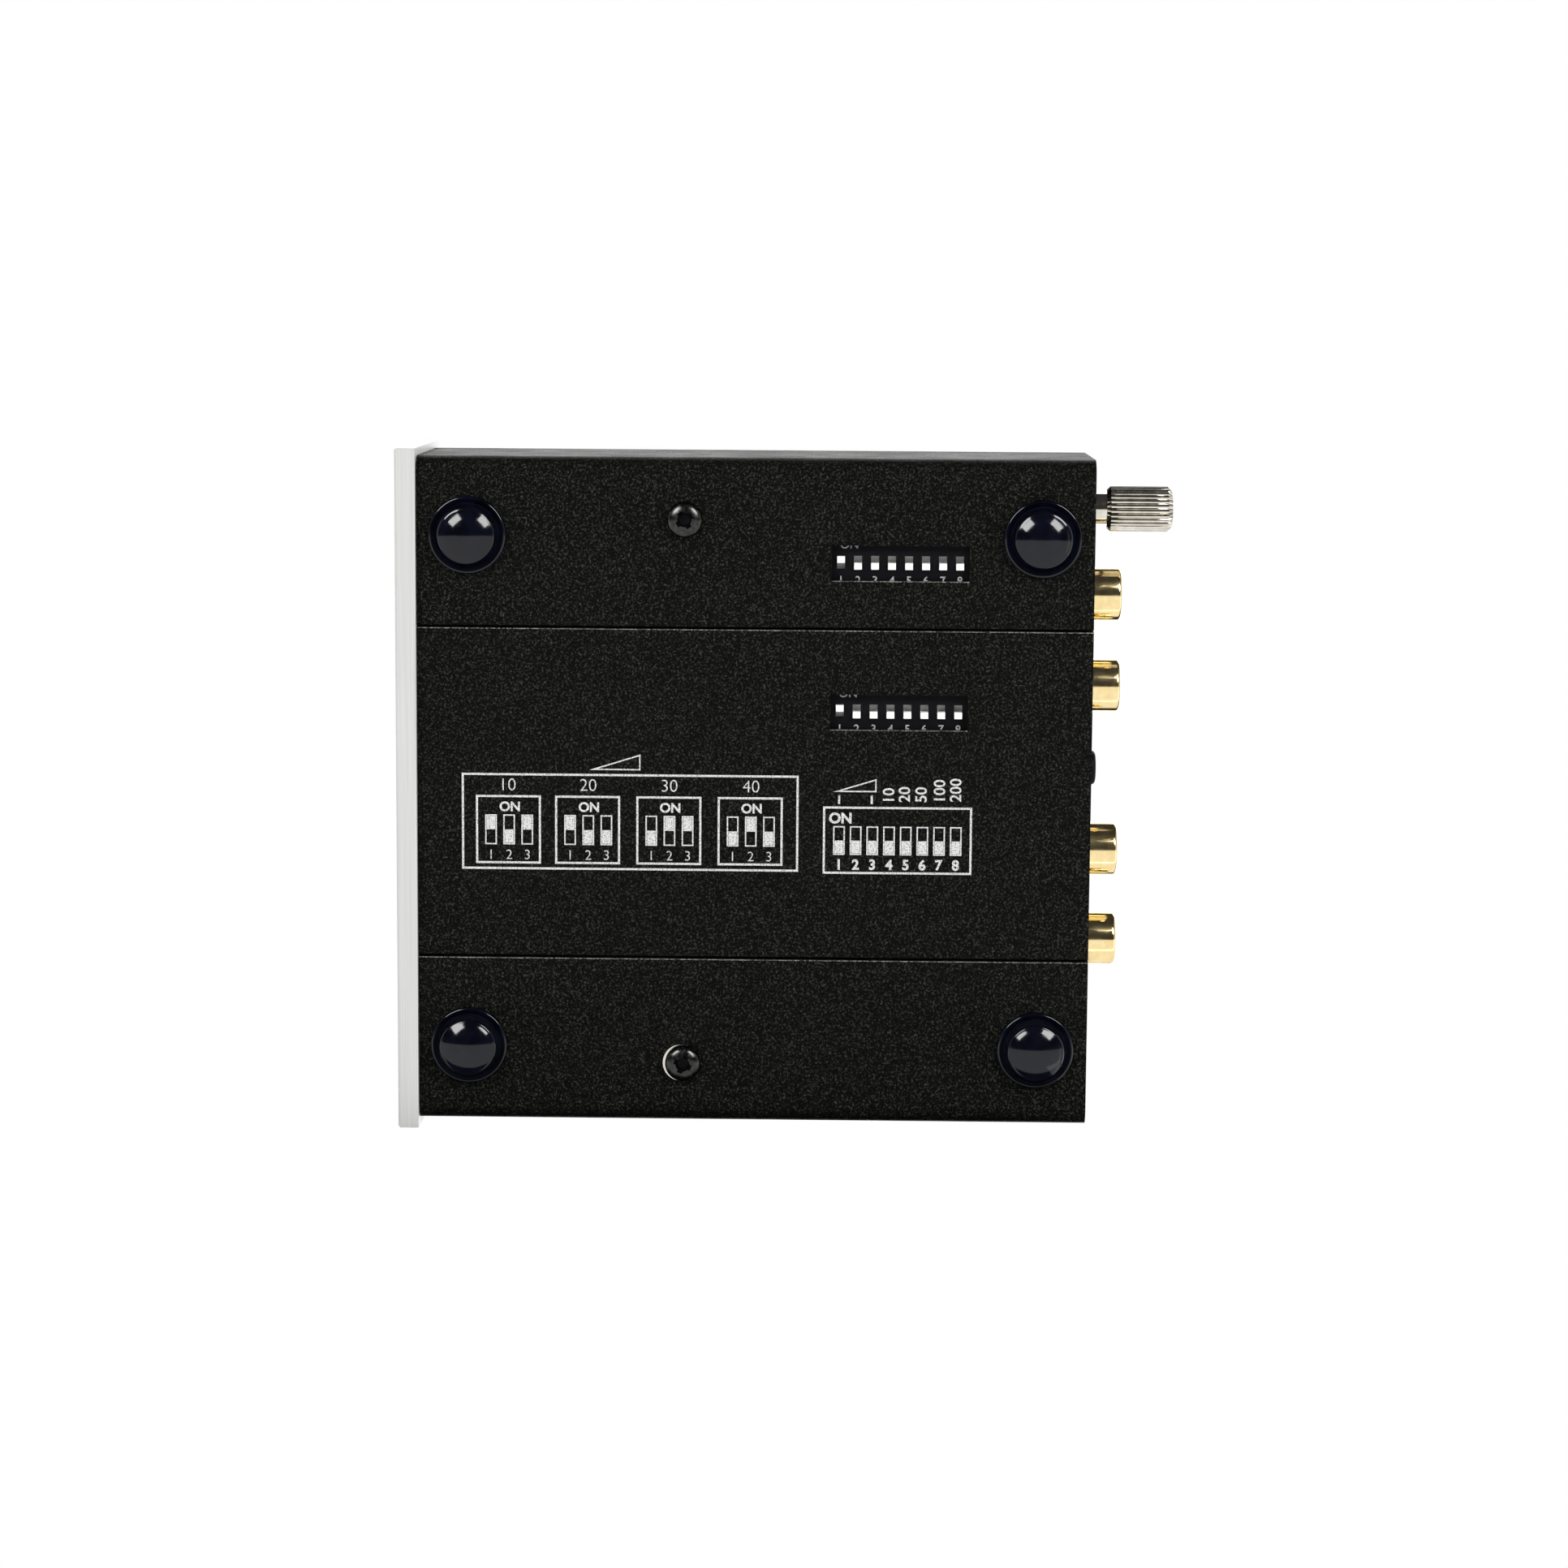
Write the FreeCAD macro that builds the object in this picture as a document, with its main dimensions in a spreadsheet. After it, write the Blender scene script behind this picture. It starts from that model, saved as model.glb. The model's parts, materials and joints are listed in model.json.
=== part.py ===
import FreeCAD, Part
import os
import Sketcher

# A compact phono preamp: a pale metal front panel, a folded black steel case on four rubber feet,
# two banks of slide switches in its underside, and sockets and a ground terminal at the rear.
# +Z is up, the front panel faces -Y, and the origin is the middle of the footprint, at the feet.

os.makedirs("parts", exist_ok=True)
doc = FreeCAD.newDocument("phono_preamp")

# Driving dimensions, in millimetres. Places along the depth are measured back from the panel's front.
SIZES = {
    # front panel
    "panel_width": 103.0,
    "panel_height": 33.0,
    "panel_thick": 3.1,
    "panel_bevel": 0.3,
    # folded steel case
    "case_width": 100.8,
    "case_height": 31.0,
    "case_length": 101.3,
    "sheet": 1.2,
    "bend_radius": 2.5,
    "strip_width": 50.0,
    "seam_gap": 0.25,
    "lip_radius": 0.3,
    "inner_clearance": 0.5,
    "ledge_clearance": 2.8,
    "rear_recess": 2.5,
    "rear_tab": 7.2,
    "rear_tab_inset": 3.6,
    "fit_gap": 0.05,
    # rubber feet
    "foot_height": 4.0,
    "foot_radius": 5.6,
    "foot_skirt": 0.5,
    "foot_crown_radius": 4.4,
    "foot_crown_rise": 1.5,
    "foot_flat_radius": 1.2,
    "foot_edge": 11.7,
    "foot_front": 7.7,
    "foot_rear": 7.8,
    # machine screws and what they go into
    "screw_radius": 1.45,
    "thread_gap": 0.05,
    "screw_clearance": 0.25,
    "screw_head_radius": 2.7,
    "screw_head_height": 1.8,
    "screw_crown": 0.7,
    "screw_socket_radius": 1.1,
    "screw_socket_depth": 1.0,
    "cover_screw_edge": 9.2,
    "cover_screw_y": 43.25,
    "cover_screw_length": 6.0,
    "clinch_radius": 3.2,
    "clinch_height": 1.6,
    "panel_screw_edge": 12.4,
    "panel_screw_rise": 9.5,
    "panel_screw_bite": 2.2,
    "board_screw_length": 4.0,
    "standoff_radius": 3.0,
    "standoff_edge": 5.5,
    "standoff_front": 10.0,
    "standoff_room": 0.8,
    # slide switch banks
    "switch_count": 8,
    "switch_pitch": 2.54,
    "switch_end": 2.0,
    "switch_width": 9.9,
    "switch_height": 5.6,
    "switch_gap": 0.2,
    "switch_rear": 28.94,
    "gain_switch_edge": 15.53,
    "load_switch_edge": 37.87,
    "window_length": 20.6,
    "window_width": 5.3,
    "window_clearance": 0.5,
    "knob_width": 1.15,
    "knob_length": 0.98,
    "knob_rise": 0.7,
    "slot_depth": 1.4,
    "slider_travel": 0.98,
    "slider_gap": 0.05,
    # circuit board and what stands on it
    "board_thick": 1.6,
    "board_side": 3.9,
    "board_margin": 1.0,
    "part_edge": 10.5,
    "small_can_radius": 4.0,
    "small_can_height": 11.5,
    "small_can_row": 34.0,
    "small_can_pitch": 12.0,
    "large_can_radius": 5.0,
    "large_can_height": 14.0,
    "large_can_edge": 26.5,
    "large_can_row": 16.0,
    "large_can_pitch": 13.0,
    "can_bevel": 0.5,
    "film_length": 7.2,
    "film_width": 3.5,
    "film_height": 8.5,
    "film_pitch": 9.5,
    "film_row": 48.0,
    "film_row_pitch": 14.0,
    "chip_length": 9.8,
    "chip_width": 6.4,
    "chip_height": 3.4,
    "chip_lift": 0.6,
    "lead_width": 0.5,
    "lead_pitch": 2.54,
    "chip_edge": 42.5,
    "chip_row": 52.0,
    "chip_pitch": 15.0,
    "regulator_width": 10.0,
    "regulator_depth": 4.4,
    "regulator_height": 9.0,
    "regulator_tab": 1.3,
    "regulator_tab_rise": 6.4,
    "regulator_hole": 1.8,
    "regulator_pitch": 13.0,
    "regulator_row": 12.0,
    "resistor_radius": 1.2,
    "resistor_length": 6.3,
    "resistor_pitch": 4.2,
    "resistor_edge": 26.5,
    "resistor_row": 34.0,
    "resistor_gap": 4.0,
    # signal sockets
    "jack_radius": 4.13,
    "jack_bore": 3.45,
    "jack_reach": 7.5,
    "jack_bevel": 0.5,
    "jack_pitch": 14.0,
    "jack_height": 7.5,
    "jack_shoulder": 0.2,
    "jack_hole_gap": 0.35,
    "insulator_recess": 0.8,
    "insulator_face": 1.2,
    "insulator_mouth": 0.3,
    "contact_radius": 2.1,
    "contact_bore": 1.6,
    "housing_side": 5.3,
    "housing_depth": 10.5,
    "housing_rise": 7.4,
    "housing_screw_length": 6.0,
    "housing_screw_head": 2.0,
    # power socket, with its plug hole and pin
    "socket_height": 6.5,
    "socket_width": 8.5,
    "socket_rise": 4.6,
    "socket_depth": 11.0,
    "nose_radius": 2.65,
    "nose_reach": 4.05,
    "nose_round": 0.7,
    "nose_hole_gap": 0.3,
    "plug_bore": 1.85,
    "plug_depth": 8.0,
    "pin_radius": 0.65,
    "pin_recess": 1.0,
    # ground terminal
    "terminal_reach": 12.6,
    "thumb_radius": 3.45,
    "thumb_length": 10.0,
    "thumb_bevel": 0.6,
    "thumb_cap": 2.0,
    "thumb_grooves": 27,
    "groove_depth": 0.3,
    "collar_radius": 2.4,
    "stud_radius": 1.95,
    "stud_bevel": 0.3,
    "stud_end": 1.2,
    "washer_radius": 4.0,
    "washer_thick": 0.8,
    "lock_flats": 7.0,
    "lock_thick": 2.4,
    "lug_radius": 4.2,
    "lug_thick": 0.6,
    "lug_length": 11.0,
    "lug_overlap": 0.84,
    # power lamp
    "lamp_radius": 1.5,
    "lamp_height": 6.9,
    "lamp_gap": 0.1,
    "lamp_set_back": 0.2,
    "lamp_flange": 1.9,
    "lamp_flange_length": 0.9,
    "lamp_holder_width": 5.0,
    "lamp_holder_depth": 5.0,
}

sheet = doc.addObject("Spreadsheet::Sheet", "Sizes")
for row, (alias, length) in enumerate(SIZES.items(), start=1):
    sheet.set("A%d" % row, alias)
    sheet.set("B%d" % row, str(length))
    sheet.setAlias("B%d" % row, alias)
doc.recompute()


def size(alias):
    """The sheet's value for a name, for loops that count and for picking edges."""
    return float(getattr(sheet, alias))


def ex(text):
    """An expression in which every size's name points at the sheet."""
    words = ""
    word = ""
    for char in text + " ":
        if char.isalnum() or char == "_":
            word += char
        else:
            words += "Sizes." + word if word in SIZES else word
            words += char
            word = ""
    return words.strip()


def value(text):
    """The number that an expression gives."""
    result = sheet.evalExpression(ex(text))
    return float(getattr(result, "Value", result))


# Heights, from the feet's plane up
CASE_UNDER = "foot_height"
CASE_FLOOR = "(foot_height + sheet)"
LEDGE_TOP = "(foot_height + 2 * sheet)"
CASE_TOP = "(foot_height + case_height)"
PANEL_UNDER = "(foot_height + case_height / 2 - panel_height / 2)"
SWITCH_FACE = f"({CASE_FLOOR} + switch_gap)"
BOARD_UNDER = f"({SWITCH_FACE} + switch_height)"
BOARD_TOP = f"({BOARD_UNDER} + board_thick)"
JACK_AXIS = f"({BOARD_TOP} + jack_height)"
SOCKET_AXIS = f"({BOARD_TOP} + socket_height)"
LAMP_AXIS = f"({BOARD_TOP} + lamp_height)"
WALL_TOP = f"({CASE_TOP} - sheet - inner_clearance)"

# Places along the depth, from the front back
PANEL_FRONT = "(-(panel_thick + case_length + terminal_reach) / 2)"
CASE_FRONT = f"({PANEL_FRONT} + panel_thick)"
WALL_BACK = f"({CASE_FRONT} + sheet)"
CASE_REAR = f"({CASE_FRONT} + case_length)"
REAR_FACE = f"({CASE_REAR} - rear_recess)"
REAR_INNER = f"({REAR_FACE} - sheet)"
SWITCH_MIDDLE = f"({CASE_REAR} - switch_rear)"
BOARD_FRONT = f"({WALL_BACK} + screw_head_height + board_margin)"
BOARD_REAR = f"({REAR_INNER} - board_margin)"
STANDOFFS = (f"({BOARD_FRONT} + standoff_front)",
             f"({REAR_INNER} - rear_tab - standoff_room - standoff_radius)")

# Places along the rear row, as shares of the case's width: the terminal and the power socket from
# the middle, and the middle of each pair of signal sockets from the power socket
TERMINAL_SHARE = 0.4206
SOCKET_SHARE = 0.0258
PAIR_SHARE = 0.1954

# Places across the width
WALL_HALF = "(case_width / 2 - sheet - inner_clearance)"
BOARD_HALF = "(case_width / 2 - board_side)"
LEDGE_HALF = "(case_width / 2 - sheet - ledge_clearance)"
STRIP_HALF = "(strip_width / 2 - seam_gap / 2)"
FLANGE_EDGE = "(strip_width / 2 + seam_gap / 2)"
HOUSING_HALF = "(jack_pitch / 2 + housing_side)"
COVER_SCREW_X = "(case_width / 2 - cover_screw_edge)"
TERMINAL_X = f"({TERMINAL_SHARE} * case_width)"
SOCKET_X = f"({SOCKET_SHARE} * case_width)"
JACK_PAIRS = {"input": f"({SOCKET_SHARE + PAIR_SHARE} * case_width)",
              "output": f"({SOCKET_SHARE - PAIR_SHARE} * case_width)"}
GAIN_SWITCH_X = "(case_width / 2 - gain_switch_edge)"
LOAD_SWITCH_X = "(case_width / 2 - load_switch_edge)"
SWITCH_BANKS = {"gain_switch": GAIN_SWITCH_X, "load_switch": LOAD_SWITCH_X}
SWITCH_LENGTH = "((switch_count - 1) * switch_pitch + 2 * switch_end)"

# How many of each part stand on the board, and how many leads a chip has on each side
SMALL_CANS = 4
LARGE_CANS = 2
FILM_ROWS = 2
FILMS_IN_ROW = 3
CHIPS = 2
LEADS = 4
REGULATORS = 2
RESISTORS = 8

# How far an arc of a foot's outline swells from its chord, as a share of the chord
ARC_BULGE = 0.12
# How wide a groove of the knurl opens, as a share of the grooves' pitch
GROOVE_SHARE = 0.62

SCREW_HOLE = "(screw_radius + screw_clearance)"
TAPPED_HOLE = "(screw_radius + thread_gap)"


def bind(obj, **expressions):
    """Tie an object's properties to the sheet; an underscore pair stands for a dot."""
    for name, text in expressions.items():
        obj.setExpression(name.replace("__", "."), ex(text))


def place(obj, x="0", y="0", z="0"):
    """Put an object at a point whose coordinates are expressions."""
    bind(obj, Placement__Base__x=x, Placement__Base__y=y, Placement__Base__z=z)
    return obj


def new_body(label):
    body = doc.addObject("PartDesign::Body", label)
    body.Label = label
    return body


def sketch_in(body, name, role, offset="0"):
    """A sketch on one of its body's own origin planes, shifted along the plane's normal."""
    sketch = body.newObject("Sketcher::SketchObject", name)
    plane = next(item for item in body.Origin.OriginFeatures if item.Role == role)
    sketch.AttachmentSupport = [(plane, "")]
    sketch.MapMode = "FlatFace"
    bind(sketch, AttachmentOffset__Base__z=offset)
    return sketch


def pin_point(sketch, geometry, vertex, x, y):
    """Hold one point of a sketch at coordinates given by expressions."""
    for kind, text in (("DistanceX", x), ("DistanceY", y)):
        datum = value(text)
        index = sketch.addConstraint(Sketcher.Constraint(kind, -1, 1, geometry, vertex, datum))
        sketch.setExpression("Constraints[%d]" % index, ex(text))


def polygon(sketch, corners):
    """A closed outline through corners whose coordinates are expressions."""
    points = [FreeCAD.Vector(value(x), value(y), 0) for x, y in corners]
    first = sketch.GeometryCount
    count = len(points)
    for i in range(count):
        sketch.addGeometry(Part.LineSegment(points[i], points[(i + 1) % count]), False)
    for i in range(count):
        sketch.addConstraint(
            Sketcher.Constraint("Coincident", first + i, 2, first + (i + 1) % count, 1))
    for i, (x, y) in enumerate(corners):
        pin_point(sketch, first + i, 1, x, y)


def rectangle(sketch, x_low, x_high, y_low, y_high):
    polygon(sketch, [(x_low, y_low), (x_high, y_low), (x_high, y_high), (x_low, y_high)])


def circle(sketch, x, y, radius):
    centre = FreeCAD.Vector(value(x), value(y), 0)
    index = sketch.addGeometry(Part.Circle(centre, FreeCAD.Vector(0, 0, 1), value(radius)), False)
    rule = sketch.addConstraint(Sketcher.Constraint("Radius", index, value(radius)))
    sketch.setExpression("Constraints[%d]" % rule, ex(radius))
    pin_point(sketch, index, 3, x, y)


def pad(body, sketch, length, reverse=False):
    feature = body.newObject("PartDesign::Pad", sketch.Name + "_pad")
    feature.Profile = sketch
    feature.Reversed = reverse
    bind(feature, Length=length)
    doc.recompute()
    return feature


SMALLEST_CUT = 0.01
CLOSE = 0.01


def pocket(body, sketch, length, reverse=False):
    """Cut a sketch's outline into the body, and make sure that it cuts."""
    before = body.Shape.Volume
    feature = body.newObject("PartDesign::Pocket", sketch.Name + "_cut")
    feature.Profile = sketch
    feature.Reversed = reverse
    bind(feature, Length=length)
    doc.recompute()
    if not body.Shape.Volume < before - SMALLEST_CUT:
        raise ValueError(f"{feature.Name} cuts nothing")
    return feature


def revolve(body, sketch):
    """Turn a half outline once round the sketch's upright axis."""
    feature = body.newObject("PartDesign::Revolution", sketch.Name + "_turn")
    feature.Profile = sketch
    feature.ReferenceAxis = (sketch, ["V_Axis"])
    feature.Angle = 360.0
    doc.recompute()
    return feature


def edges_at(body, test):
    """Names of the body's edges whose centre and direction pass a test."""
    names = []
    for index, edge in enumerate(body.Shape.Edges, start=1):
        middle = edge.valueAt((edge.FirstParameter + edge.LastParameter) / 2)
        along = edge.tangentAt((edge.FirstParameter + edge.LastParameter) / 2)
        if test(middle, along):
            names.append("Edge%d" % index)
    if not names:
        raise ValueError(f"no edge of {body.Label} passes the test")
    return names


def round_edges(body, name, test, radius):
    base = (body.Tip, edges_at(body, test))
    feature = body.newObject("PartDesign::Fillet", name)
    feature.Base = base
    bind(feature, Radius=radius)
    doc.recompute()
    return feature


def bevel_edges(body, name, test, width):
    base = (body.Tip, edges_at(body, test))
    feature = body.newObject("PartDesign::Chamfer", name)
    feature.Base = base
    bind(feature, Size=width)
    doc.recompute()
    return feature


def near(a, b):
    return abs(a - b) < CLOSE


def runs_along_depth(along):
    return abs(along.y) > 1 - CLOSE


def turned(label, outline, upright=True):
    """A body turned from a half outline of (radius, height) corners, round Z or, laid down, round Y."""
    body = new_body(label)
    sketch = sketch_in(body, label + "_profile", "XZ_Plane" if upright else "XY_Plane")
    polygon(sketch, outline)
    revolve(body, sketch)
    return body


def group(label, members):
    """One node of several separate solids."""
    compound = doc.addObject("Part::Compound", label)
    compound.Label = label
    compound.Links = members
    return compound


def box(label, x, y, z, width, depth, height):
    """A block whose lowest corner is at x, y, z."""
    block = doc.addObject("Part::Box", label)
    block.Label = label
    bind(block, Length=width, Width=depth, Height=height)
    return place(block, x, y, z)


def cylinder(label, radius, height, x, y, z, axis="z"):
    rod = doc.addObject("Part::Cylinder", label)
    rod.Label = label
    bind(rod, Radius=radius, Height=height)
    if axis == "y":
        rod.Placement.Rotation = FreeCAD.Rotation(FreeCAD.Vector(1, 0, 0), -90)
    if axis == "x":
        rod.Placement.Rotation = FreeCAD.Rotation(FreeCAD.Vector(0, 1, 0), 90)
    return place(rod, x, y, z)


def fuse(label, members):
    joined = doc.addObject("Part::MultiFuse", label)
    joined.Label = label
    joined.Shapes = members
    return joined


def pan_screw(label, shank, x, y, z, axis, head_radius="screw_head_radius"):
    """A pan-head screw whose seat is at x, y, z; its shank runs along the axis vector."""
    body = turned(label, [
        ("0", shank),
        ("screw_radius", shank),
        ("screw_radius", "0"),
        (head_radius, "0"),
        (head_radius, "-(screw_head_height - screw_crown)"),
        (head_radius + " - screw_crown", "-screw_head_height"),
        ("screw_socket_radius", "-screw_head_height"),
        ("0", "-(screw_head_height - screw_socket_depth)"),
    ])
    body.Placement.Rotation = FreeCAD.Rotation(FreeCAD.Vector(0, 0, 1), FreeCAD.Vector(*axis))
    return place(body, x, y, z)


UP = (0, 0, 1)
DOWN = (0, 0, -1)
FORWARD = (0, -1, 0)


def front_panel():
    """The thick metal panel: a bevelled plate with blind screw holes behind and the lamp's hole."""
    body = new_body("front_panel")
    outline = sketch_in(body, "panel_outline", "XZ_Plane", f"-{CASE_FRONT}")
    rectangle(outline, "-panel_width / 2", "panel_width / 2",
              PANEL_UNDER, f"{PANEL_UNDER} + panel_height")
    pad(body, outline, "panel_thick")
    front = value(PANEL_FRONT)
    bevel_edges(body, "panel_edges", lambda middle, along: near(middle.y, front), "panel_bevel")
    lamp = sketch_in(body, "panel_lamp", "XZ_Plane", f"-{CASE_FRONT}")
    circle(lamp, "0", LAMP_AXIS, "lamp_radius + lamp_gap")
    pocket(body, lamp, "panel_thick", reverse=True)
    holes = sketch_in(body, "panel_holes", "XZ_Plane", f"-{CASE_FRONT}")
    for x, z in panel_screw_places():
        circle(holes, x, z, TAPPED_HOLE)
    pocket(body, holes, "panel_screw_bite + thread_gap", reverse=True)
    return body


def panel_screw_places():
    middle = "(foot_height + case_height / 2)"
    return [(side + "(case_width / 2 - panel_screw_edge)", middle + rise + "panel_screw_rise")
            for side in ("-", "") for rise in (" - ", " + ")]


def top_cover():
    """Top, sides and the two in-turned flanges under the case, folded from one sheet."""
    body = new_body("top_cover")
    outline = sketch_in(body, "cover_section", "XZ_Plane", f"-{CASE_FRONT}")
    half = "case_width / 2"
    inner = "(case_width / 2 - sheet)"
    roof = f"({CASE_TOP} - sheet)"
    right = [
        (FLANGE_EDGE, CASE_FLOOR), (FLANGE_EDGE, CASE_UNDER), (half, CASE_UNDER), (half, CASE_TOP),
    ]
    right_inner = [(inner, roof), (inner, CASE_FLOOR)]
    polygon(outline, right + [("-" + x, z) for x, z in reversed(right)]
            + [("-" + x, z) for x, z in reversed(right_inner)] + right_inner)
    pad(body, outline, "case_length", reverse=True)
    outer_x, inner_x = value(half), value(inner)
    edge_x = value(FLANGE_EDGE)
    under, floor = value(CASE_UNDER), value(CASE_FLOOR)
    round_edges(body, "outer_bends", lambda middle, along:
                runs_along_depth(along) and near(abs(middle.x), outer_x), "bend_radius")
    round_edges(body, "inner_bends", lambda middle, along:
                runs_along_depth(along) and near(abs(middle.x), inner_x)
                and (near(middle.z, floor) or near(middle.z, value(roof))), "bend_radius - sheet")
    round_edges(body, "flange_lips", lambda middle, along:
                runs_along_depth(along) and near(abs(middle.x), edge_x)
                and near(middle.z, under), "lip_radius")
    holes = sketch_in(body, "flange_holes", "XY_Plane", CASE_FLOOR)
    for side in ("-", ""):
        circle(holes, side + COVER_SCREW_X, f"{PANEL_FRONT} + cover_screw_y", SCREW_HOLE)
    window(holes, GAIN_SWITCH_X)
    pocket(body, holes, "sheet")
    return body


def window(sketch, x):
    rectangle(sketch, f"{x} - window_width / 2", f"{x} + window_width / 2",
              f"{SWITCH_MIDDLE} - window_length / 2", f"{SWITCH_MIDDLE} + window_length / 2")


def base_tray():
    """The floor: a strip that lies flush between the flanges, joggled up to a ledge over each
    flange, with a front wall that carries the panel."""
    body = new_body("base_tray")
    section = sketch_in(body, "tray_section", "XZ_Plane", f"-{CASE_FRONT}")
    step = f"({STRIP_HALF} - sheet)"
    under = [(STRIP_HALF, CASE_UNDER), (STRIP_HALF, CASE_FLOOR), (LEDGE_HALF, CASE_FLOOR)]
    above = [(LEDGE_HALF, LEDGE_TOP), (step, LEDGE_TOP), (step, CASE_FLOOR)]
    right = under + above
    polygon(section, right + [("-" + x, z) for x, z in reversed(right)])
    pad(body, section, "case_length", reverse=True)
    strip_x, step_x = value(STRIP_HALF), value(step)
    low, floor, top = value(CASE_UNDER), value(CASE_FLOOR), value(LEDGE_TOP)
    round_edges(body, "joggle_bends", lambda middle, along: runs_along_depth(along)
                and ((near(abs(middle.x), strip_x) and (near(middle.z, low) or near(middle.z, floor)))
                     or (near(abs(middle.x), step_x) and (near(middle.z, top) or near(middle.z, floor)))),
                "lip_radius")
    wall = sketch_in(body, "tray_wall", "XZ_Plane", f"-{CASE_FRONT}")
    rectangle(wall, f"-{WALL_HALF}", WALL_HALF, LEDGE_TOP + " - sheet / 2", WALL_TOP)
    pad(body, wall, "sheet", reverse=True)
    holes = sketch_in(body, "wall_holes", "XZ_Plane", f"-{CASE_FRONT}")
    for x, z in panel_screw_places():
        circle(holes, x, z, SCREW_HOLE)
    circle(holes, "0", LAMP_AXIS, "lamp_radius + lamp_gap")
    pocket(body, holes, "sheet")
    floor_holes = sketch_in(body, "floor_holes", "XY_Plane", LEDGE_TOP)
    window(floor_holes, LOAD_SWITCH_X)
    reach_x = "(switch_width / 2 + window_clearance)"
    reach_y = f"({SWITCH_LENGTH} / 2 + window_clearance)"
    rectangle(floor_holes, f"{GAIN_SWITCH_X} - {reach_x}", f"{GAIN_SWITCH_X} + {reach_x}",
              f"{SWITCH_MIDDLE} - {reach_y}", f"{SWITCH_MIDDLE} + {reach_y}")
    for side in ("-", ""):
        circle(floor_holes, side + COVER_SCREW_X, f"{PANEL_FRONT} + cover_screw_y", SCREW_HOLE)
    pocket(body, floor_holes, "2 * sheet")
    return body


def rear_panel():
    """The rear plate, set in from the case's edge, with feet spot-welded to the ledges."""
    body = new_body("rear_panel")
    outline = sketch_in(body, "rear_outline", "XZ_Plane", f"-{REAR_FACE}")
    tongue = f"({STRIP_HALF} - sheet - inner_clearance)"
    right = [(tongue, CASE_FLOOR), (tongue, LEDGE_TOP), (WALL_HALF, LEDGE_TOP), (WALL_HALF, WALL_TOP)]
    polygon(outline, right + [("-" + x, z) for x, z in reversed(right)])
    pad(body, outline, "sheet")
    feet = sketch_in(body, "rear_feet", "XY_Plane", LEDGE_TOP)
    for sign in ("-", ""):
        sides = [f"{sign}(strip_width / 2 + rear_tab_inset)", f"{sign}({LEDGE_HALF} - rear_tab_inset)"]
        if sign:
            sides.reverse()
        rectangle(feet, sides[0], sides[1], f"{REAR_INNER} - rear_tab", f"{REAR_INNER} + sheet / 2")
    pad(body, feet, "sheet")
    holes = sketch_in(body, "rear_holes", "XZ_Plane", f"-{REAR_FACE}")
    for pair in JACK_PAIRS.values():
        circle(holes, pair, JACK_AXIS, SCREW_HOLE)
        for side in ("-", "+"):
            circle(holes, f"{pair} {side} jack_pitch / 2", JACK_AXIS, "jack_radius + jack_hole_gap")
    circle(holes, SOCKET_X, SOCKET_AXIS, "nose_radius + nose_hole_gap")
    circle(holes, TERMINAL_X, JACK_AXIS, "stud_radius + fit_gap")
    pocket(body, holes, "sheet", reverse=True)
    return body


def rubber_feet():
    """Domed bumpers under the flanges: a low skirt, a steep side and a shallow crown."""
    front, rear = f"{CASE_FRONT} + foot_front", f"{CASE_REAR} - foot_rear"
    for name, side, y in (("foot_front_left", "-", front), ("foot_front_right", "", front),
                          ("foot_rear_left", "-", rear), ("foot_rear_right", "", rear)):
        body = new_body(name)
        profile = sketch_in(body, name + "_profile", "XZ_Plane")
        shoulder = [("foot_radius", "foot_height - foot_skirt"),
                    ("foot_crown_radius", "foot_crown_rise"),
                    ("foot_flat_radius", "0")]
        lines = [("foot_flat_radius", "0"), ("0", "0"), ("0", "foot_height"),
                 ("foot_radius", "foot_height"), ("foot_radius", "foot_height - foot_skirt")]
        curved_outline(profile, lines, shoulder)
        revolve(body, profile)
        place(body, side + "(case_width / 2 - foot_edge)", y)


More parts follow.
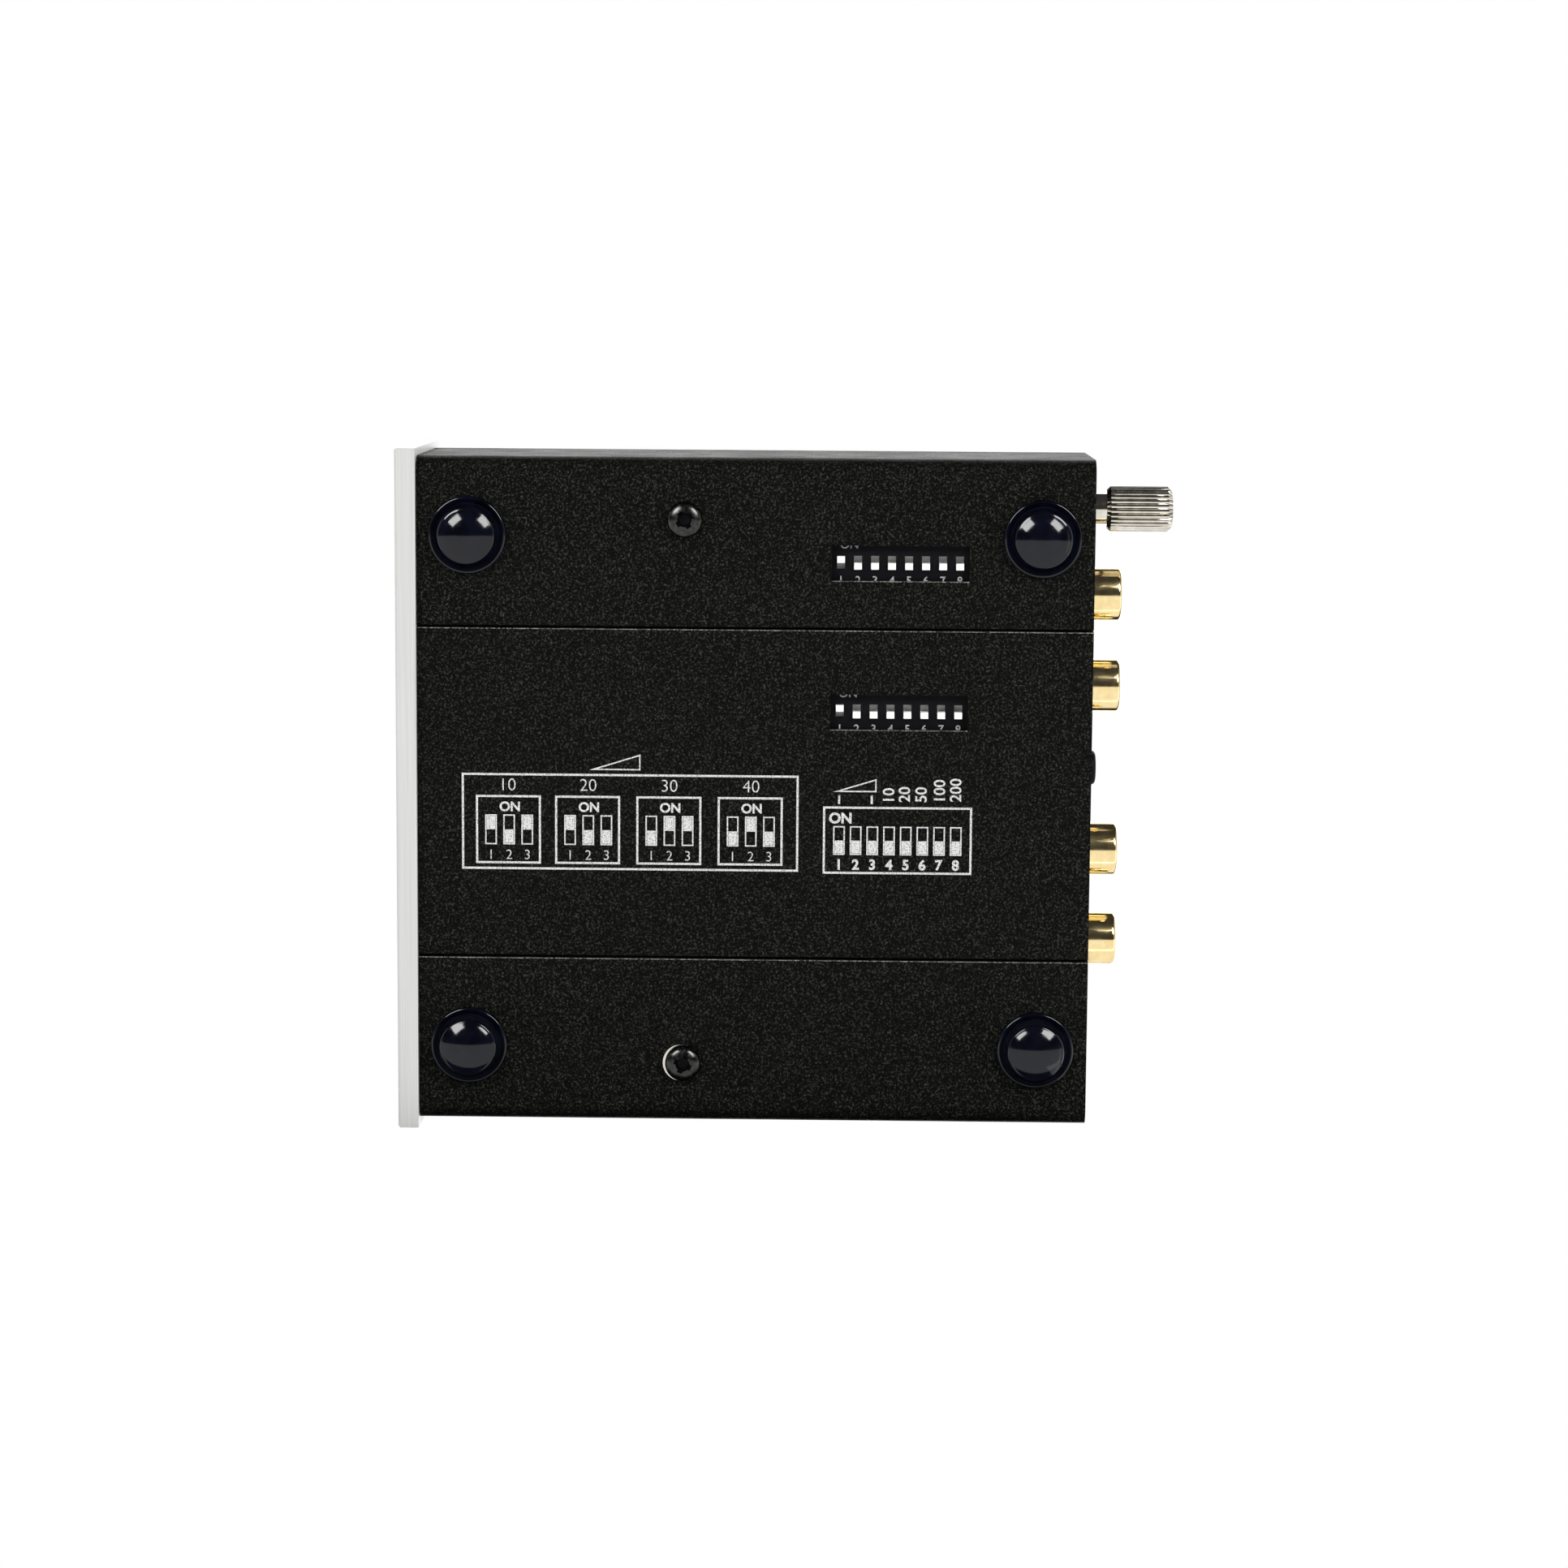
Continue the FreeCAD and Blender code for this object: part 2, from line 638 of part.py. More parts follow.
def curved_outline(sketch, lines, ends):
    """Straight runs through the corners in lines, closed by one arc between each pair of ends."""
    first = sketch.GeometryCount
    spots = [FreeCAD.Vector(value(x), value(y), 0) for x, y in lines]
    for i in range(len(spots) - 1):
        sketch.addGeometry(Part.LineSegment(spots[i], spots[i + 1]), False)
    for i in range(len(spots) - 2):
        sketch.addConstraint(Sketcher.Constraint("Coincident", first + i, 2, first + i + 1, 1))
    for i, (x, y) in enumerate(lines[:-1]):
        pin_point(sketch, first + i, 1, x, y)
    last = first + len(spots) - 2
    pin_point(sketch, last, 2, *lines[-1])
    previous = last
    knots = [FreeCAD.Vector(value(x), value(y), 0) for x, y in ends]
    for i in range(len(knots) - 1):
        start, finish = knots[i], knots[i + 1]
        chord = finish - start
        bulge = FreeCAD.Vector(-chord.y, chord.x, 0) * ARC_BULGE
        middle = (start + finish) * 0.5 + bulge
        index = sketch.addGeometry(Part.Arc(start, middle, finish), False)
        centre = sketch.Geometry[index].Center
        forwards = sketch.getPoint(index, 1).distanceToPoint(start) < CLOSE
        head, tail = (1, 2) if forwards else (2, 1)
        sketch.addConstraint(Sketcher.Constraint("Coincident", previous, 2 if i == 0 else tail_of,
                                                 index, head))
        if i < len(knots) - 2:
            pin_point(sketch, index, tail, *ends[i + 1])
        else:
            sketch.addConstraint(Sketcher.Constraint("Coincident", index, tail, first, 1))
        rule = sketch.addConstraint(
            Sketcher.Constraint("Radius", index, centre.distanceToPoint(start)))
        reach_x = f"({ends[i + 1][0]} - ({ends[i][0]}))"
        reach_y = f"({ends[i + 1][1]} - ({ends[i][1]}))"
        swell = f"({ARC_BULGE} + 0.25 / {ARC_BULGE}) / 2"
        sketch.setExpression("Constraints[%d]" % rule,
                             ex(f"sqrt({reach_x} * {reach_x} + {reach_y} * {reach_y}) * {swell}"))
        previous, tail_of = index, tail


def cover_fixings():
    """Two screws through the flanges into clinch nuts on the tray's ledges."""
    screws = []
    nuts = []
    for name, side in (("left", "-"), ("right", "")):
        x = side + COVER_SCREW_X
        y = f"{PANEL_FRONT} + cover_screw_y"
        screws.append(pan_screw("cover_screw_" + name, "cover_screw_length", x, y, CASE_UNDER, UP))
        nut = turned("clinch_nut_" + name, [
            (TAPPED_HOLE, "0"), ("clinch_radius", "0"),
            ("clinch_radius", "clinch_height"), (TAPPED_HOLE, "clinch_height")])
        nuts.append(place(nut, x, y, LEDGE_TOP))
    group("cover_screws", screws)
    group("clinch_nuts", nuts)


def panel_fixings():
    """Four screws from inside the tray's front wall into the panel."""
    screws = [pan_screw("panel_screw_%d" % number, "sheet + panel_screw_bite", x, WALL_BACK, z, FORWARD)
              for number, (x, z) in enumerate(panel_screw_places(), start=1)]
    group("front_panel_screws", screws)


def board_corners():
    return [(f"{side}({BOARD_HALF} - standoff_edge)", y) for side in ("-", "") for y in STANDOFFS]


def circuit_board():
    """The board, on four standoffs that stand on the tray's ledges."""
    body = new_body("circuit_board")
    outline = sketch_in(body, "board_outline", "XY_Plane", BOARD_UNDER)
    rectangle(outline, f"-{BOARD_HALF}", BOARD_HALF, BOARD_FRONT, BOARD_REAR)
    for x, y in board_corners():
        circle(outline, x, y, SCREW_HOLE)
    pad(body, outline, "board_thick")
    standoffs = []
    screws = []
    for number, (x, y) in enumerate(board_corners(), start=1):
        standoff = turned("standoff_%d" % number, [
            (TAPPED_HOLE, "0"), ("standoff_radius", "0"),
            ("standoff_radius", f"{BOARD_UNDER} - {LEDGE_TOP}"),
            (TAPPED_HOLE, f"{BOARD_UNDER} - {LEDGE_TOP}")])
        standoffs.append(place(standoff, x, y, LEDGE_TOP))
        screws.append(pan_screw("board_screw_%d" % number, "board_screw_length", x, y, BOARD_TOP, DOWN))
    group("board_standoffs", standoffs)
    group("board_screws", screws)


def switch_bank(name, x):
    """One bank: a moulded block under the board with a slot for each slider, and its sliders."""
    body = new_body(name + "_body")
    outline = sketch_in(body, name + "_outline", "XY_Plane")
    half_length = f"({SWITCH_LENGTH} / 2)"
    rectangle(outline, "-switch_width / 2", "switch_width / 2", f"-{half_length}", half_length)
    pad(body, outline, "switch_height")
    slots = sketch_in(body, name + "_slots", "XY_Plane")
    first = "(-(switch_count - 1) * switch_pitch / 2)"
    slot_half = "((knob_length + slider_travel) / 2 + slider_gap)"
    knob_half = "(knob_width / 2 + slider_gap)"
    rectangle(slots, f"-{slot_half}", slot_half, f"{first} - {knob_half}", f"{first} + {knob_half}")
    cut = pocket(body, slots, "slot_depth", reverse=True)
    row = body.newObject("PartDesign::LinearPattern", name + "_row")
    row.Originals = [cut]
    row.Direction = (slots, ["V_Axis"])
    bind(row, Length="(switch_count - 1) * switch_pitch", Occurrences="switch_count")
    body.Tip = row
    place(body, x, SWITCH_MIDDLE, SWITCH_FACE)
    for number in range(1, int(size("switch_count")) + 1):
        slider(f"{name}_slider_{number}", x, number)


def slider(label, x, number):
    """One slider: the first of a bank rests at the ON end of its slot, the others at the far end."""
    rest = "+ slider_travel / 2" if number == 1 else "- slider_travel / 2"
    box(label,
        f"{x} {rest} - knob_length / 2",
        f"{SWITCH_MIDDLE} + ({number} - (switch_count + 1) / 2) * switch_pitch - knob_width / 2",
        f"{SWITCH_FACE} - knob_rise",
        "knob_length", "knob_width", "knob_rise + slot_depth - slider_gap")


def jack_pair(name, pair):
    """Two signal sockets: a moulded block on the board, behind the rear plate, that holds for each
    a turned sleeve, an insulator and a sprung centre contact, and a screw between the two."""
    body = new_body(name + "_jack_block")
    outline = sketch_in(body, name + "_block_outline", "XY_Plane", BOARD_TOP)
    rectangle(outline, f"-{HOUSING_HALF}", HOUSING_HALF, f"{REAR_INNER} - housing_depth", REAR_INNER)
    pad(body, outline, "jack_height + housing_rise")
    bore = sketch_in(body, name + "_block_bore", "XZ_Plane", f"-{REAR_INNER}")
    circle(bore, "0", JACK_AXIS, TAPPED_HOLE)
    pocket(body, bore, "housing_screw_length - sheet + thread_gap", reverse=True)
    rear, top = value(REAR_INNER), value(f"{BOARD_TOP} + jack_height + housing_rise")
    bevel_edges(body, name + "_block_edges",
                lambda middle, along: near(middle.z, top) and not near(middle.y, rear), "jack_bevel")
    place(body, pair)
    tip = "(sheet + jack_reach)"
    face = f"({tip} - insulator_recess)"
    for side, offset in (("left", "-"), ("right", "+")):
        x = f"{pair} {offset} jack_pitch / 2"
        label = f"{name}_{side}"
        sleeve = turned(label + "_sleeve", [
            ("jack_bore", "0"), ("jack_radius + jack_shoulder", "0"),
            ("jack_radius + jack_shoulder", "sheet"), ("jack_radius", "sheet"),
            ("jack_radius", f"{tip} - jack_bevel"),
            ("jack_radius - jack_bevel", tip), ("jack_bore", tip)], upright=False)
        insulator = turned(label + "_insulator", [
            ("contact_radius + fit_gap", "0"), ("jack_bore - fit_gap", "0"),
            ("jack_bore - fit_gap", face), ("contact_bore + insulator_mouth", face),
            ("contact_bore + insulator_mouth", f"{face} - insulator_face"),
            ("contact_radius + fit_gap", f"{face} - insulator_face")], upright=False)
        contact = turned(label + "_contact", [
            ("contact_bore", "0"), ("contact_radius", "0"),
            ("contact_radius", f"{face} - insulator_face - fit_gap"),
            ("contact_bore", f"{face} - insulator_face - fit_gap")], upright=False)
        for piece in (sleeve, insulator, contact):
            place(piece, x, REAR_INNER, JACK_AXIS)
    return pan_screw(name + "_jack_screw", "housing_screw_length", pair, REAR_FACE, JACK_AXIS,
                     FORWARD, "housing_screw_head")


def power_socket():
    """The power socket: a block on the board with a round nose through the rear plate, and its pin."""
    body = new_body("power_socket")
    outline = sketch_in(body, "socket_outline", "XY_Plane", BOARD_TOP)
    rectangle(outline, "-socket_width / 2", "socket_width / 2", f"{REAR_INNER} - socket_depth", REAR_INNER)
    pad(body, outline, "socket_height + socket_rise")
    nose = sketch_in(body, "socket_nose", "XZ_Plane", f"-{REAR_INNER}")
    circle(nose, "0", SOCKET_AXIS, "nose_radius")
    pad(body, nose, "sheet + nose_reach", reverse=True)
    tip = value(f"{REAR_FACE} + nose_reach")
    round_edges(body, "socket_round", lambda middle, along: near(middle.y, tip), "nose_round")
    bore = sketch_in(body, "socket_bore", "XZ_Plane", f"-({REAR_FACE} + nose_reach)")
    circle(bore, "0", SOCKET_AXIS, "plug_bore")
    pocket(body, bore, "plug_depth", reverse=True)
    place(body, SOCKET_X)
    length = "(plug_depth - pin_recess)"
    pin = turned("power_socket_pin", [
        ("0", "0"), ("pin_radius", "0"), ("pin_radius", f"{length} - pin_radius / 2"),
        ("pin_radius / 2", length), ("0", length)], upright=False)
    place(pin, SOCKET_X, f"{REAR_FACE} + nose_reach - plug_depth", SOCKET_AXIS)


def ground_terminal():
    """A stud held in the rear plate by a lock nut over a solder lug, with a loose washer and a
    knurled thumb nut outside."""
    seat = f"({REAR_FACE} + washer_thick)"
    collar = "(rear_recess + terminal_reach - washer_thick - thumb_length)"
    whole = f"({collar} + thumb_length)"
    stud_inside = "(sheet + lug_thick + lock_thick + stud_end)"
    stud = turned("ground_stud", [
        ("0", f"-{stud_inside}"), ("stud_radius - stud_bevel", f"-{stud_inside}"),
        ("stud_radius", f"stud_bevel - {stud_inside}"),
        ("stud_radius", f"washer_thick + {whole} - thumb_cap - thumb_bevel"),
        ("stud_radius - thumb_bevel", f"washer_thick + {whole} - thumb_cap"),
        ("0", f"washer_thick + {whole} - thumb_cap")], upright=False)
    place(stud, TERMINAL_X, REAR_FACE, JACK_AXIS)
    washer = turned("ground_washer", [
        ("stud_radius + fit_gap", "0"), ("washer_radius", "0"), ("washer_radius", "washer_thick"),
        ("stud_radius + fit_gap", "washer_thick")], upright=False)
    place(washer, TERMINAL_X, REAR_FACE, JACK_AXIS)
    nut = new_body("ground_thumb_nut")
    profile = sketch_in(nut, "thumb_profile", "XY_Plane")
    polygon(profile, [
        ("stud_radius + fit_gap", "0"), ("collar_radius", "0"), ("collar_radius", collar),
        ("thumb_radius - thumb_bevel", collar), ("thumb_radius", f"{collar} + thumb_bevel"),
        ("thumb_radius", f"{whole} - thumb_bevel"), ("thumb_radius - thumb_bevel", whole),
        ("0", whole), ("0", f"{whole} - thumb_cap + fit_gap"),
        ("stud_radius + fit_gap", f"{whole} - thumb_cap + fit_gap")])
    revolve(nut, profile)
    groove = sketch_in(nut, "thumb_groove", "XZ_Plane", f"-{whole}")
    mouth = f"(thumb_radius * sin(180 / thumb_grooves) * {GROOVE_SHARE})"
    polygon(groove, [("thumb_radius - groove_depth", "0"),
                     ("thumb_radius + groove_depth / 4", f"-{mouth}"),
                     ("thumb_radius + groove_depth / 4", mouth)])
    cut = pocket(nut, groove, "thumb_length", reverse=True)
    knurl = nut.newObject("PartDesign::PolarPattern", "thumb_knurl")
    knurl.Originals = [cut]
    knurl.Axis = (groove, ["N_Axis"])
    knurl.Angle = 360.0
    bind(knurl, Occurrences="thumb_grooves")
    nut.Tip = knurl
    place(nut, TERMINAL_X, seat, JACK_AXIS)
    lock = new_body("ground_lock_nut")
    hexagon = sketch_in(lock, "lock_hexagon", "XZ_Plane")
    corner = "(lock_flats / sqrt(3))"
    polygon(hexagon, [(f"{corner} * cos({60 * i})", f"{corner} * sin({60 * i})") for i in range(6)])
    circle(hexagon, "0", "0", "stud_radius + fit_gap")
    pad(lock, hexagon, "lock_thick")
    place(lock, TERMINAL_X, f"{REAR_INNER} - lug_thick", JACK_AXIS)
    lug = new_body("ground_lug")
    ring = sketch_in(lug, "lug_ring", "XZ_Plane")
    circle(ring, "0", "0", "lug_radius")
    circle(ring, "0", "0", "stud_radius + fit_gap")
    pad(lug, ring, "lug_thick")
    tail = sketch_in(lug, "lug_tail", "XZ_Plane")
    rectangle(tail, "-lug_radius / 2", "lug_radius / 2", "lug_radius - lug_overlap", "lug_length")
    pad(lug, tail, "lug_thick")
    place(lug, TERMINAL_X, REAR_INNER, JACK_AXIS)


def power_lamp():
    """The lamp in the panel, held level by a moulded block at the board's front edge."""
    reach = f"({BOARD_FRONT} - {PANEL_FRONT} - lamp_set_back)"
    body = turned("power_lamp", [
        ("0", "0"), ("lamp_flange", "0"), ("lamp_flange", "lamp_flange_length"),
        ("lamp_radius", "lamp_flange_length"), ("lamp_radius", f"{reach} - lamp_radius / 2"),
        ("lamp_radius / 2", f"{reach} - lamp_radius / 8"), ("0", reach)])
    body.Placement.Rotation = FreeCAD.Rotation(FreeCAD.Vector(0, 0, 1), FreeCAD.Vector(*FORWARD))
    place(body, "0", BOARD_FRONT, LAMP_AXIS)
    box("lamp_holder", "-lamp_holder_width / 2", BOARD_FRONT, BOARD_TOP,
        "lamp_holder_width", "lamp_holder_depth", "lamp_height + lamp_flange + sheet")


def board_parts():
    """What stands on the board: cans, film blocks, chips, regulators and resistors."""
    edge = f"(part_edge - {BOARD_HALF})"
    small = [can(f"small_can_{i}", "small_can_radius", "small_can_height",
                 f"{edge} + {i} * small_can_pitch", f"{BOARD_FRONT} + small_can_row")
             for i in range(SMALL_CANS)]
    large = [can(f"large_can_{i}", "large_can_radius", "large_can_height",
                 f"{BOARD_HALF} - large_can_edge + {i} * large_can_pitch", f"{BOARD_FRONT} + large_can_row")
             for i in range(LARGE_CANS)]
    films = [box(f"film_{row}_{i}", f"{edge} + {i} * film_pitch",
                 f"{BOARD_FRONT} + film_row + {row} * film_row_pitch", BOARD_TOP,
                 "film_length", "film_width", "film_height")
             for row in range(FILM_ROWS) for i in range(FILMS_IN_ROW)]
    group("capacitors", small + large + films)
    group("amplifier_chips", [
        chip(f"chip_{i}", f"{BOARD_HALF} - chip_edge + {i} * chip_pitch", f"{BOARD_FRONT} + chip_row")
        for i in range(CHIPS)])
    group("voltage_regulators", [
        regulator(f"regulator_{i}", f"{edge} + {i} * regulator_pitch", f"{BOARD_FRONT} + regulator_row")
        for i in range(REGULATORS)])
    group("resistors", [
        cylinder(f"resistor_{i}", "resistor_radius", "resistor_length",
                 f"{BOARD_HALF} - resistor_edge + {i % 2} * (resistor_length + resistor_gap)",
                 f"{BOARD_FRONT} + resistor_row + {i // 2} * resistor_pitch",
                 f"{BOARD_TOP} + resistor_radius", "x")
        for i in range(RESISTORS)])


def can(label, radius, height, x, y):
    return place(turned(label, [
        ("0", "0"), (radius, "0"), (radius, f"{height} - can_bevel"),
        (f"{radius} - can_bevel", height), ("0", height)]), x, y, BOARD_TOP)


def chip(label, x, y):
    """A chip package with two rows of leads down to the board."""
    members = [box(label + "_case", x, y, f"{BOARD_TOP} + chip_lift",
                   "chip_length", "chip_width", "chip_height")]
    for side in range(2):
        for i in range(LEADS):
            members.append(box(
                f"{label}_lead_{side}_{i}",
                f"{x} + chip_length / 2 + ({i} - {LEADS - 1} / 2) * lead_pitch - lead_width / 2",
                f"{y} + {side} * chip_width - {1 - side} * lead_width", BOARD_TOP,
                "lead_width", "lead_width", "chip_lift + chip_height / 2"))
    return fuse(label, members)


def regulator(label, x, y):
    """A regulator with its tab upright."""
    block = box(label + "_case", x, y, BOARD_TOP, "regulator_width", "regulator_depth",
                "regulator_height")
    tab = box(label + "_tab", x, y, BOARD_TOP, "regulator_width", "regulator_tab",
              "regulator_height + regulator_tab_rise")
    hole = cylinder(label + "_hole", "regulator_hole", "regulator_depth",
                    f"{x} + regulator_width / 2", y,
                    f"{BOARD_TOP} + regulator_height + regulator_tab_rise / 2", "y")
    joined = fuse(label + "_joined", [block, tab])
    cut = doc.addObject("Part::Cut", label)
    cut.Label = label
    cut.Base = joined
    cut.Tool = hole
    return cut


front_panel()
top_cover()
base_tray()
rear_panel()
rubber_feet()
cover_fixings()
panel_fixings()
circuit_board()
for bank, bank_x in SWITCH_BANKS.items():
    switch_bank(bank, bank_x)
group("jack_screws", [jack_pair(name, pair) for name, pair in JACK_PAIRS.items()])
power_socket()
ground_terminal()
power_lamp()
board_parts()
doc.recompute()

# A node is every shape that no other object takes in
for item in doc.Objects:
    if "Invalid" in item.State or "Error" in item.State:
        raise ValueError(f"{item.Label} failed: {item.State}")

taken = {member.Name for item in doc.Objects for member in item.OutList
         if item.TypeId in ("Part::Compound", "Part::MultiFuse", "Part::Cut")}
nodes = [item for item in doc.Objects
         if item.TypeId in ("PartDesign::Body", "Part::Box", "Part::Cylinder", "Part::Compound",
                            "Part::MultiFuse", "Part::Cut") and item.Name not in taken]
for node in nodes:
    if node.Shape.isNull() or not node.Shape.isValid():
        raise ValueError(f"{node.Label} has no valid shape")
    node.Shape.exportStep(f"parts/{node.Label}.step")
    print(f"{node.Label}: {len(node.Shape.Solids)} solids, {node.Shape.Volume:.1f} mm3")
print(len(nodes), "nodes")
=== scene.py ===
import json
import math

import bmesh
import bpy
from bpy.props import FloatProperty, FloatVectorProperty, IntProperty, PointerProperty
from bpy.types import Operator, Panel, PropertyGroup
from mathutils import Matrix, Vector


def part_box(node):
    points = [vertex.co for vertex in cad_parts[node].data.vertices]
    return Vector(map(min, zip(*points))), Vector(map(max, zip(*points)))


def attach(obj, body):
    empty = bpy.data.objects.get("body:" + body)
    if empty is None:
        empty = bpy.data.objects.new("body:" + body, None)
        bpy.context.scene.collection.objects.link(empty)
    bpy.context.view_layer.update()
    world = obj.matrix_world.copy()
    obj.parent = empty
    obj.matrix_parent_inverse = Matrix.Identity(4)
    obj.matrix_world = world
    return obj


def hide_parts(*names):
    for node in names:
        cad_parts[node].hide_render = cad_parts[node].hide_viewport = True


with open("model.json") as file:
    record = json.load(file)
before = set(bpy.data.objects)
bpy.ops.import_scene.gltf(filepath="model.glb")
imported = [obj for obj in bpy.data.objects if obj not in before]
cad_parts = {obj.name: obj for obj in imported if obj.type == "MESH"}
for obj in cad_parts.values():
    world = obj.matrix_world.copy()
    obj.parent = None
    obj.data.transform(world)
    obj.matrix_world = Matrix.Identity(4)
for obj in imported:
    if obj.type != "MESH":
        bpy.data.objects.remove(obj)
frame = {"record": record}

bl_info = {
    "name": "Phono preamp looks",
    "version": (1, 0, 0),
    "blender": (4, 5, 0),
    "location": "3D View > Sidebar > Preamp",
    "description": "Finishes, detailed pieces and a stage for a compact phono preamp",
    "category": "Object",
}

MM = 0.001
SHARP = math.radians(35)
MERGE = 1e-7


# Node materials

def material(name, **sockets):
    """A new material, with constants on its own shader's sockets."""
    made = bpy.data.materials.new(name)
    made.use_nodes = True
    shader = made.node_tree.nodes["Principled BSDF"]
    for socket, amount in sockets.items():
        shader.inputs[socket.replace("_", " ")].default_value = amount
    return made


def add(made, kind, **inputs):
    """A shader node of a kind; each input is a number, a colour or another node's output."""
    node = made.node_tree.nodes.new(kind)
    for name, given in inputs.items():
        socket = node.inputs[int(name[1:])] if name[0] == "i" and name[1:].isdigit() \
            else node.inputs[name.replace("_", " ")]
        if isinstance(given, bpy.types.NodeSocket):
            made.node_tree.links.new(given, socket)
        else:
            socket.default_value = given
    return node


def feed(made, output, socket):
    """Links an output to one of the main shader's sockets."""
    shader = made.node_tree.nodes["Principled BSDF"]
    made.node_tree.links.new(output, shader.inputs[socket])


def grain(made, size, stretch=(1, 1, 1), detail=2.0, roughness=0.5):
    """Noise with features of a size in metres, in the piece's own frame."""
    place = add(made, "ShaderNodeTexCoord")
    scaled = add(made, "ShaderNodeMapping", Vector=place.outputs["Object"],
                 Scale=tuple(s / size for s in stretch))
    return add(made, "ShaderNodeTexNoise", Vector=scaled.outputs["Vector"], Scale=1.0,
               Detail=detail, Roughness=roughness).outputs["Fac"]


def spread(made, fac, low, high, start=0.35, end=0.65):
    """Maps noise between two numbers."""
    node = add(made, "ShaderNodeMapRange", Value=fac)
    for name, amount in (("From Min", start), ("From Max", end), ("To Min", low), ("To Max", high)):
        node.inputs[name].default_value = amount
    return node.outputs["Result"]


def tint(made, fac, dark, light, start=0.35, end=0.65):
    """Maps noise between two colours."""
    ramp = made.node_tree.nodes.new("ShaderNodeValToRGB")
    made.node_tree.links.new(fac, ramp.inputs["Fac"])
    for element, at, colour in zip(ramp.color_ramp.elements, (start, end), (dark, light)):
        element.position = at
        element.color = (*colour, 1)
    return ramp.outputs["Color"]


def relief(made, fac, depth):
    """Bump of a depth in metres on the main shader."""
    bump = add(made, "ShaderNodeBump", Height=fac, Strength=1.0, Distance=depth)
    feed(made, bump.outputs["Normal"], "Normal")


def powder_coat():
    """Black textured coat with pale specks, partly real grain and partly painted glints of its bumpy surface.
    """
    made = material("powder_coat", IOR=1.4, Specular_IOR_Level=0.09)
    specks_and_glints = grain(made, 0.34 * MM, detail=4.0, roughness=0.75)
    # Painted glints: the pale specks in the colour are partly the coat's grain and partly stand in for
    # sparkle from its bumps
    feed(made, tint(made, specks_and_glints, (0.0002, 0.0003, 0.0001), (0.075, 0.077, 0.06), 0.52, 0.74), "Base Color")
    feed(made, spread(made, grain(made, 6 * MM), 0.36, 0.44), "Roughness")
    relief(made, specks_and_glints, 0.3 * MM)
    return made


def brushed_aluminium():
    """Pale metal brushed along X."""
    made = material("brushed_aluminium", Metallic=0.45)
    lines = grain(made, 0.12 * MM, stretch=(0.004, 1, 1), detail=4.0)
    feed(made, tint(made, lines, (0.58, 0.58, 0.57), (0.67, 0.67, 0.655)), "Base Color")
    feed(made, spread(made, lines, 0.34, 0.5), "Roughness")
    relief(made, lines, 0.004 * MM)
    return made


def gloss_rubber():
    """Near-black glossy rubber."""
    made = material("gloss_rubber", IOR=1.42)
    cloud = grain(made, 2.4 * MM)
    feed(made, tint(made, cloud, (0.0008, 0.001, 0.003), (0.0022, 0.0028, 0.0075)), "Base Color")
    feed(made, spread(made, grain(made, 0.7 * MM), 0.08, 0.13), "Roughness")
    relief(made, cloud, 0.008 * MM)
    return made


def plated(name, dark, light, smooth, rough, size=1.5 * MM):
    """Bare or plated metal, between two colours and two roughnesses."""
    made = material(name, Metallic=1.0)
    smudge = grain(made, size, detail=3.0)
    feed(made, tint(made, smudge, dark, light), "Base Color")
    feed(made, spread(made, smudge, smooth, rough), "Roughness")
    relief(made, grain(made, 0.25 * MM), 0.0006 * MM)
    return made


def moulded(name, dark, light, rough=0.4, size=0.35 * MM, depth=0.006 * MM, level=0.5):
    """Moulded plastic, between two colours."""
    made = material(name, IOR=1.48, Specular_IOR_Level=level)
    fine = grain(made, size)
    feed(made, tint(made, fine, dark, light), "Base Color")
    feed(made, spread(made, grain(made, 2 * MM), rough - 0.05, rough + 0.07), "Roughness")
    relief(made, fine, depth)
    return made


def screen_print(name="screen_print", ink=0.62, thin=0.22):
    """White ink that lets the coat's grain through."""
    made = material(name, Roughness=0.6, Specular_IOR_Level=0.3)
    wear = grain(made, 0.22 * MM, detail=3.0)
    feed(made, tint(made, wear, (thin, thin, 0.98 * thin), (ink, ink, 0.98 * ink), 0.36, 0.52), "Base Color")
    relief(made, wear, 0.01 * MM)
    return made


def lens_plastic():
    """Clear plastic of the power lamp."""
    made = material("lamp_lens", Roughness=0.12, Transmission_Weight=0.7, IOR=1.49)
    cloud = grain(made, 0.8 * MM)
    feed(made, tint(made, cloud, (0.72, 0.8, 0.9), (0.9, 0.94, 1.0)), "Base Color")
    return made


FINISHES = {
    "panel_metal": brushed_aluminium,
    "case_paint": powder_coat,
    "zinc_steel": lambda: plated("zinc", (0.5, 0.51, 0.53), (0.66, 0.66, 0.67), 0.28, 0.42),
    "foot_rubber": gloss_rubber,
    "black_screw": lambda: plated("black_oxide", (0.035, 0.035, 0.034), (0.06, 0.06, 0.058), 0.18, 0.28,
                                  0.6 * MM),
    "board_green": lambda: moulded("solder_mask", (0.005, 0.05, 0.02), (0.01, 0.1, 0.035), 0.3, 1.2 * MM),
    "black_plastic": lambda: moulded("black_moulding", (0.0008, 0.0008, 0.0016), (0.002, 0.002, 0.0035), 0.5,
                                     level=0.12),
    "white_plastic": lambda: moulded("white_moulding", (0.76, 0.76, 0.73), (0.87, 0.87, 0.84), 0.38),
    "gold": lambda: plated("gold", (0.89, 0.69, 0.34), (0.96, 0.78, 0.43), 0.1, 0.16),
    "nickel": lambda: plated("nickel", (0.66, 0.62, 0.54), (0.78, 0.74, 0.66), 0.1, 0.18),
    "lamp_lens": lens_plastic,
    "can_sleeve": lambda: moulded("can_sleeve", (0.012, 0.012, 0.05), (0.02, 0.02, 0.075), 0.25, 1 * MM),
}


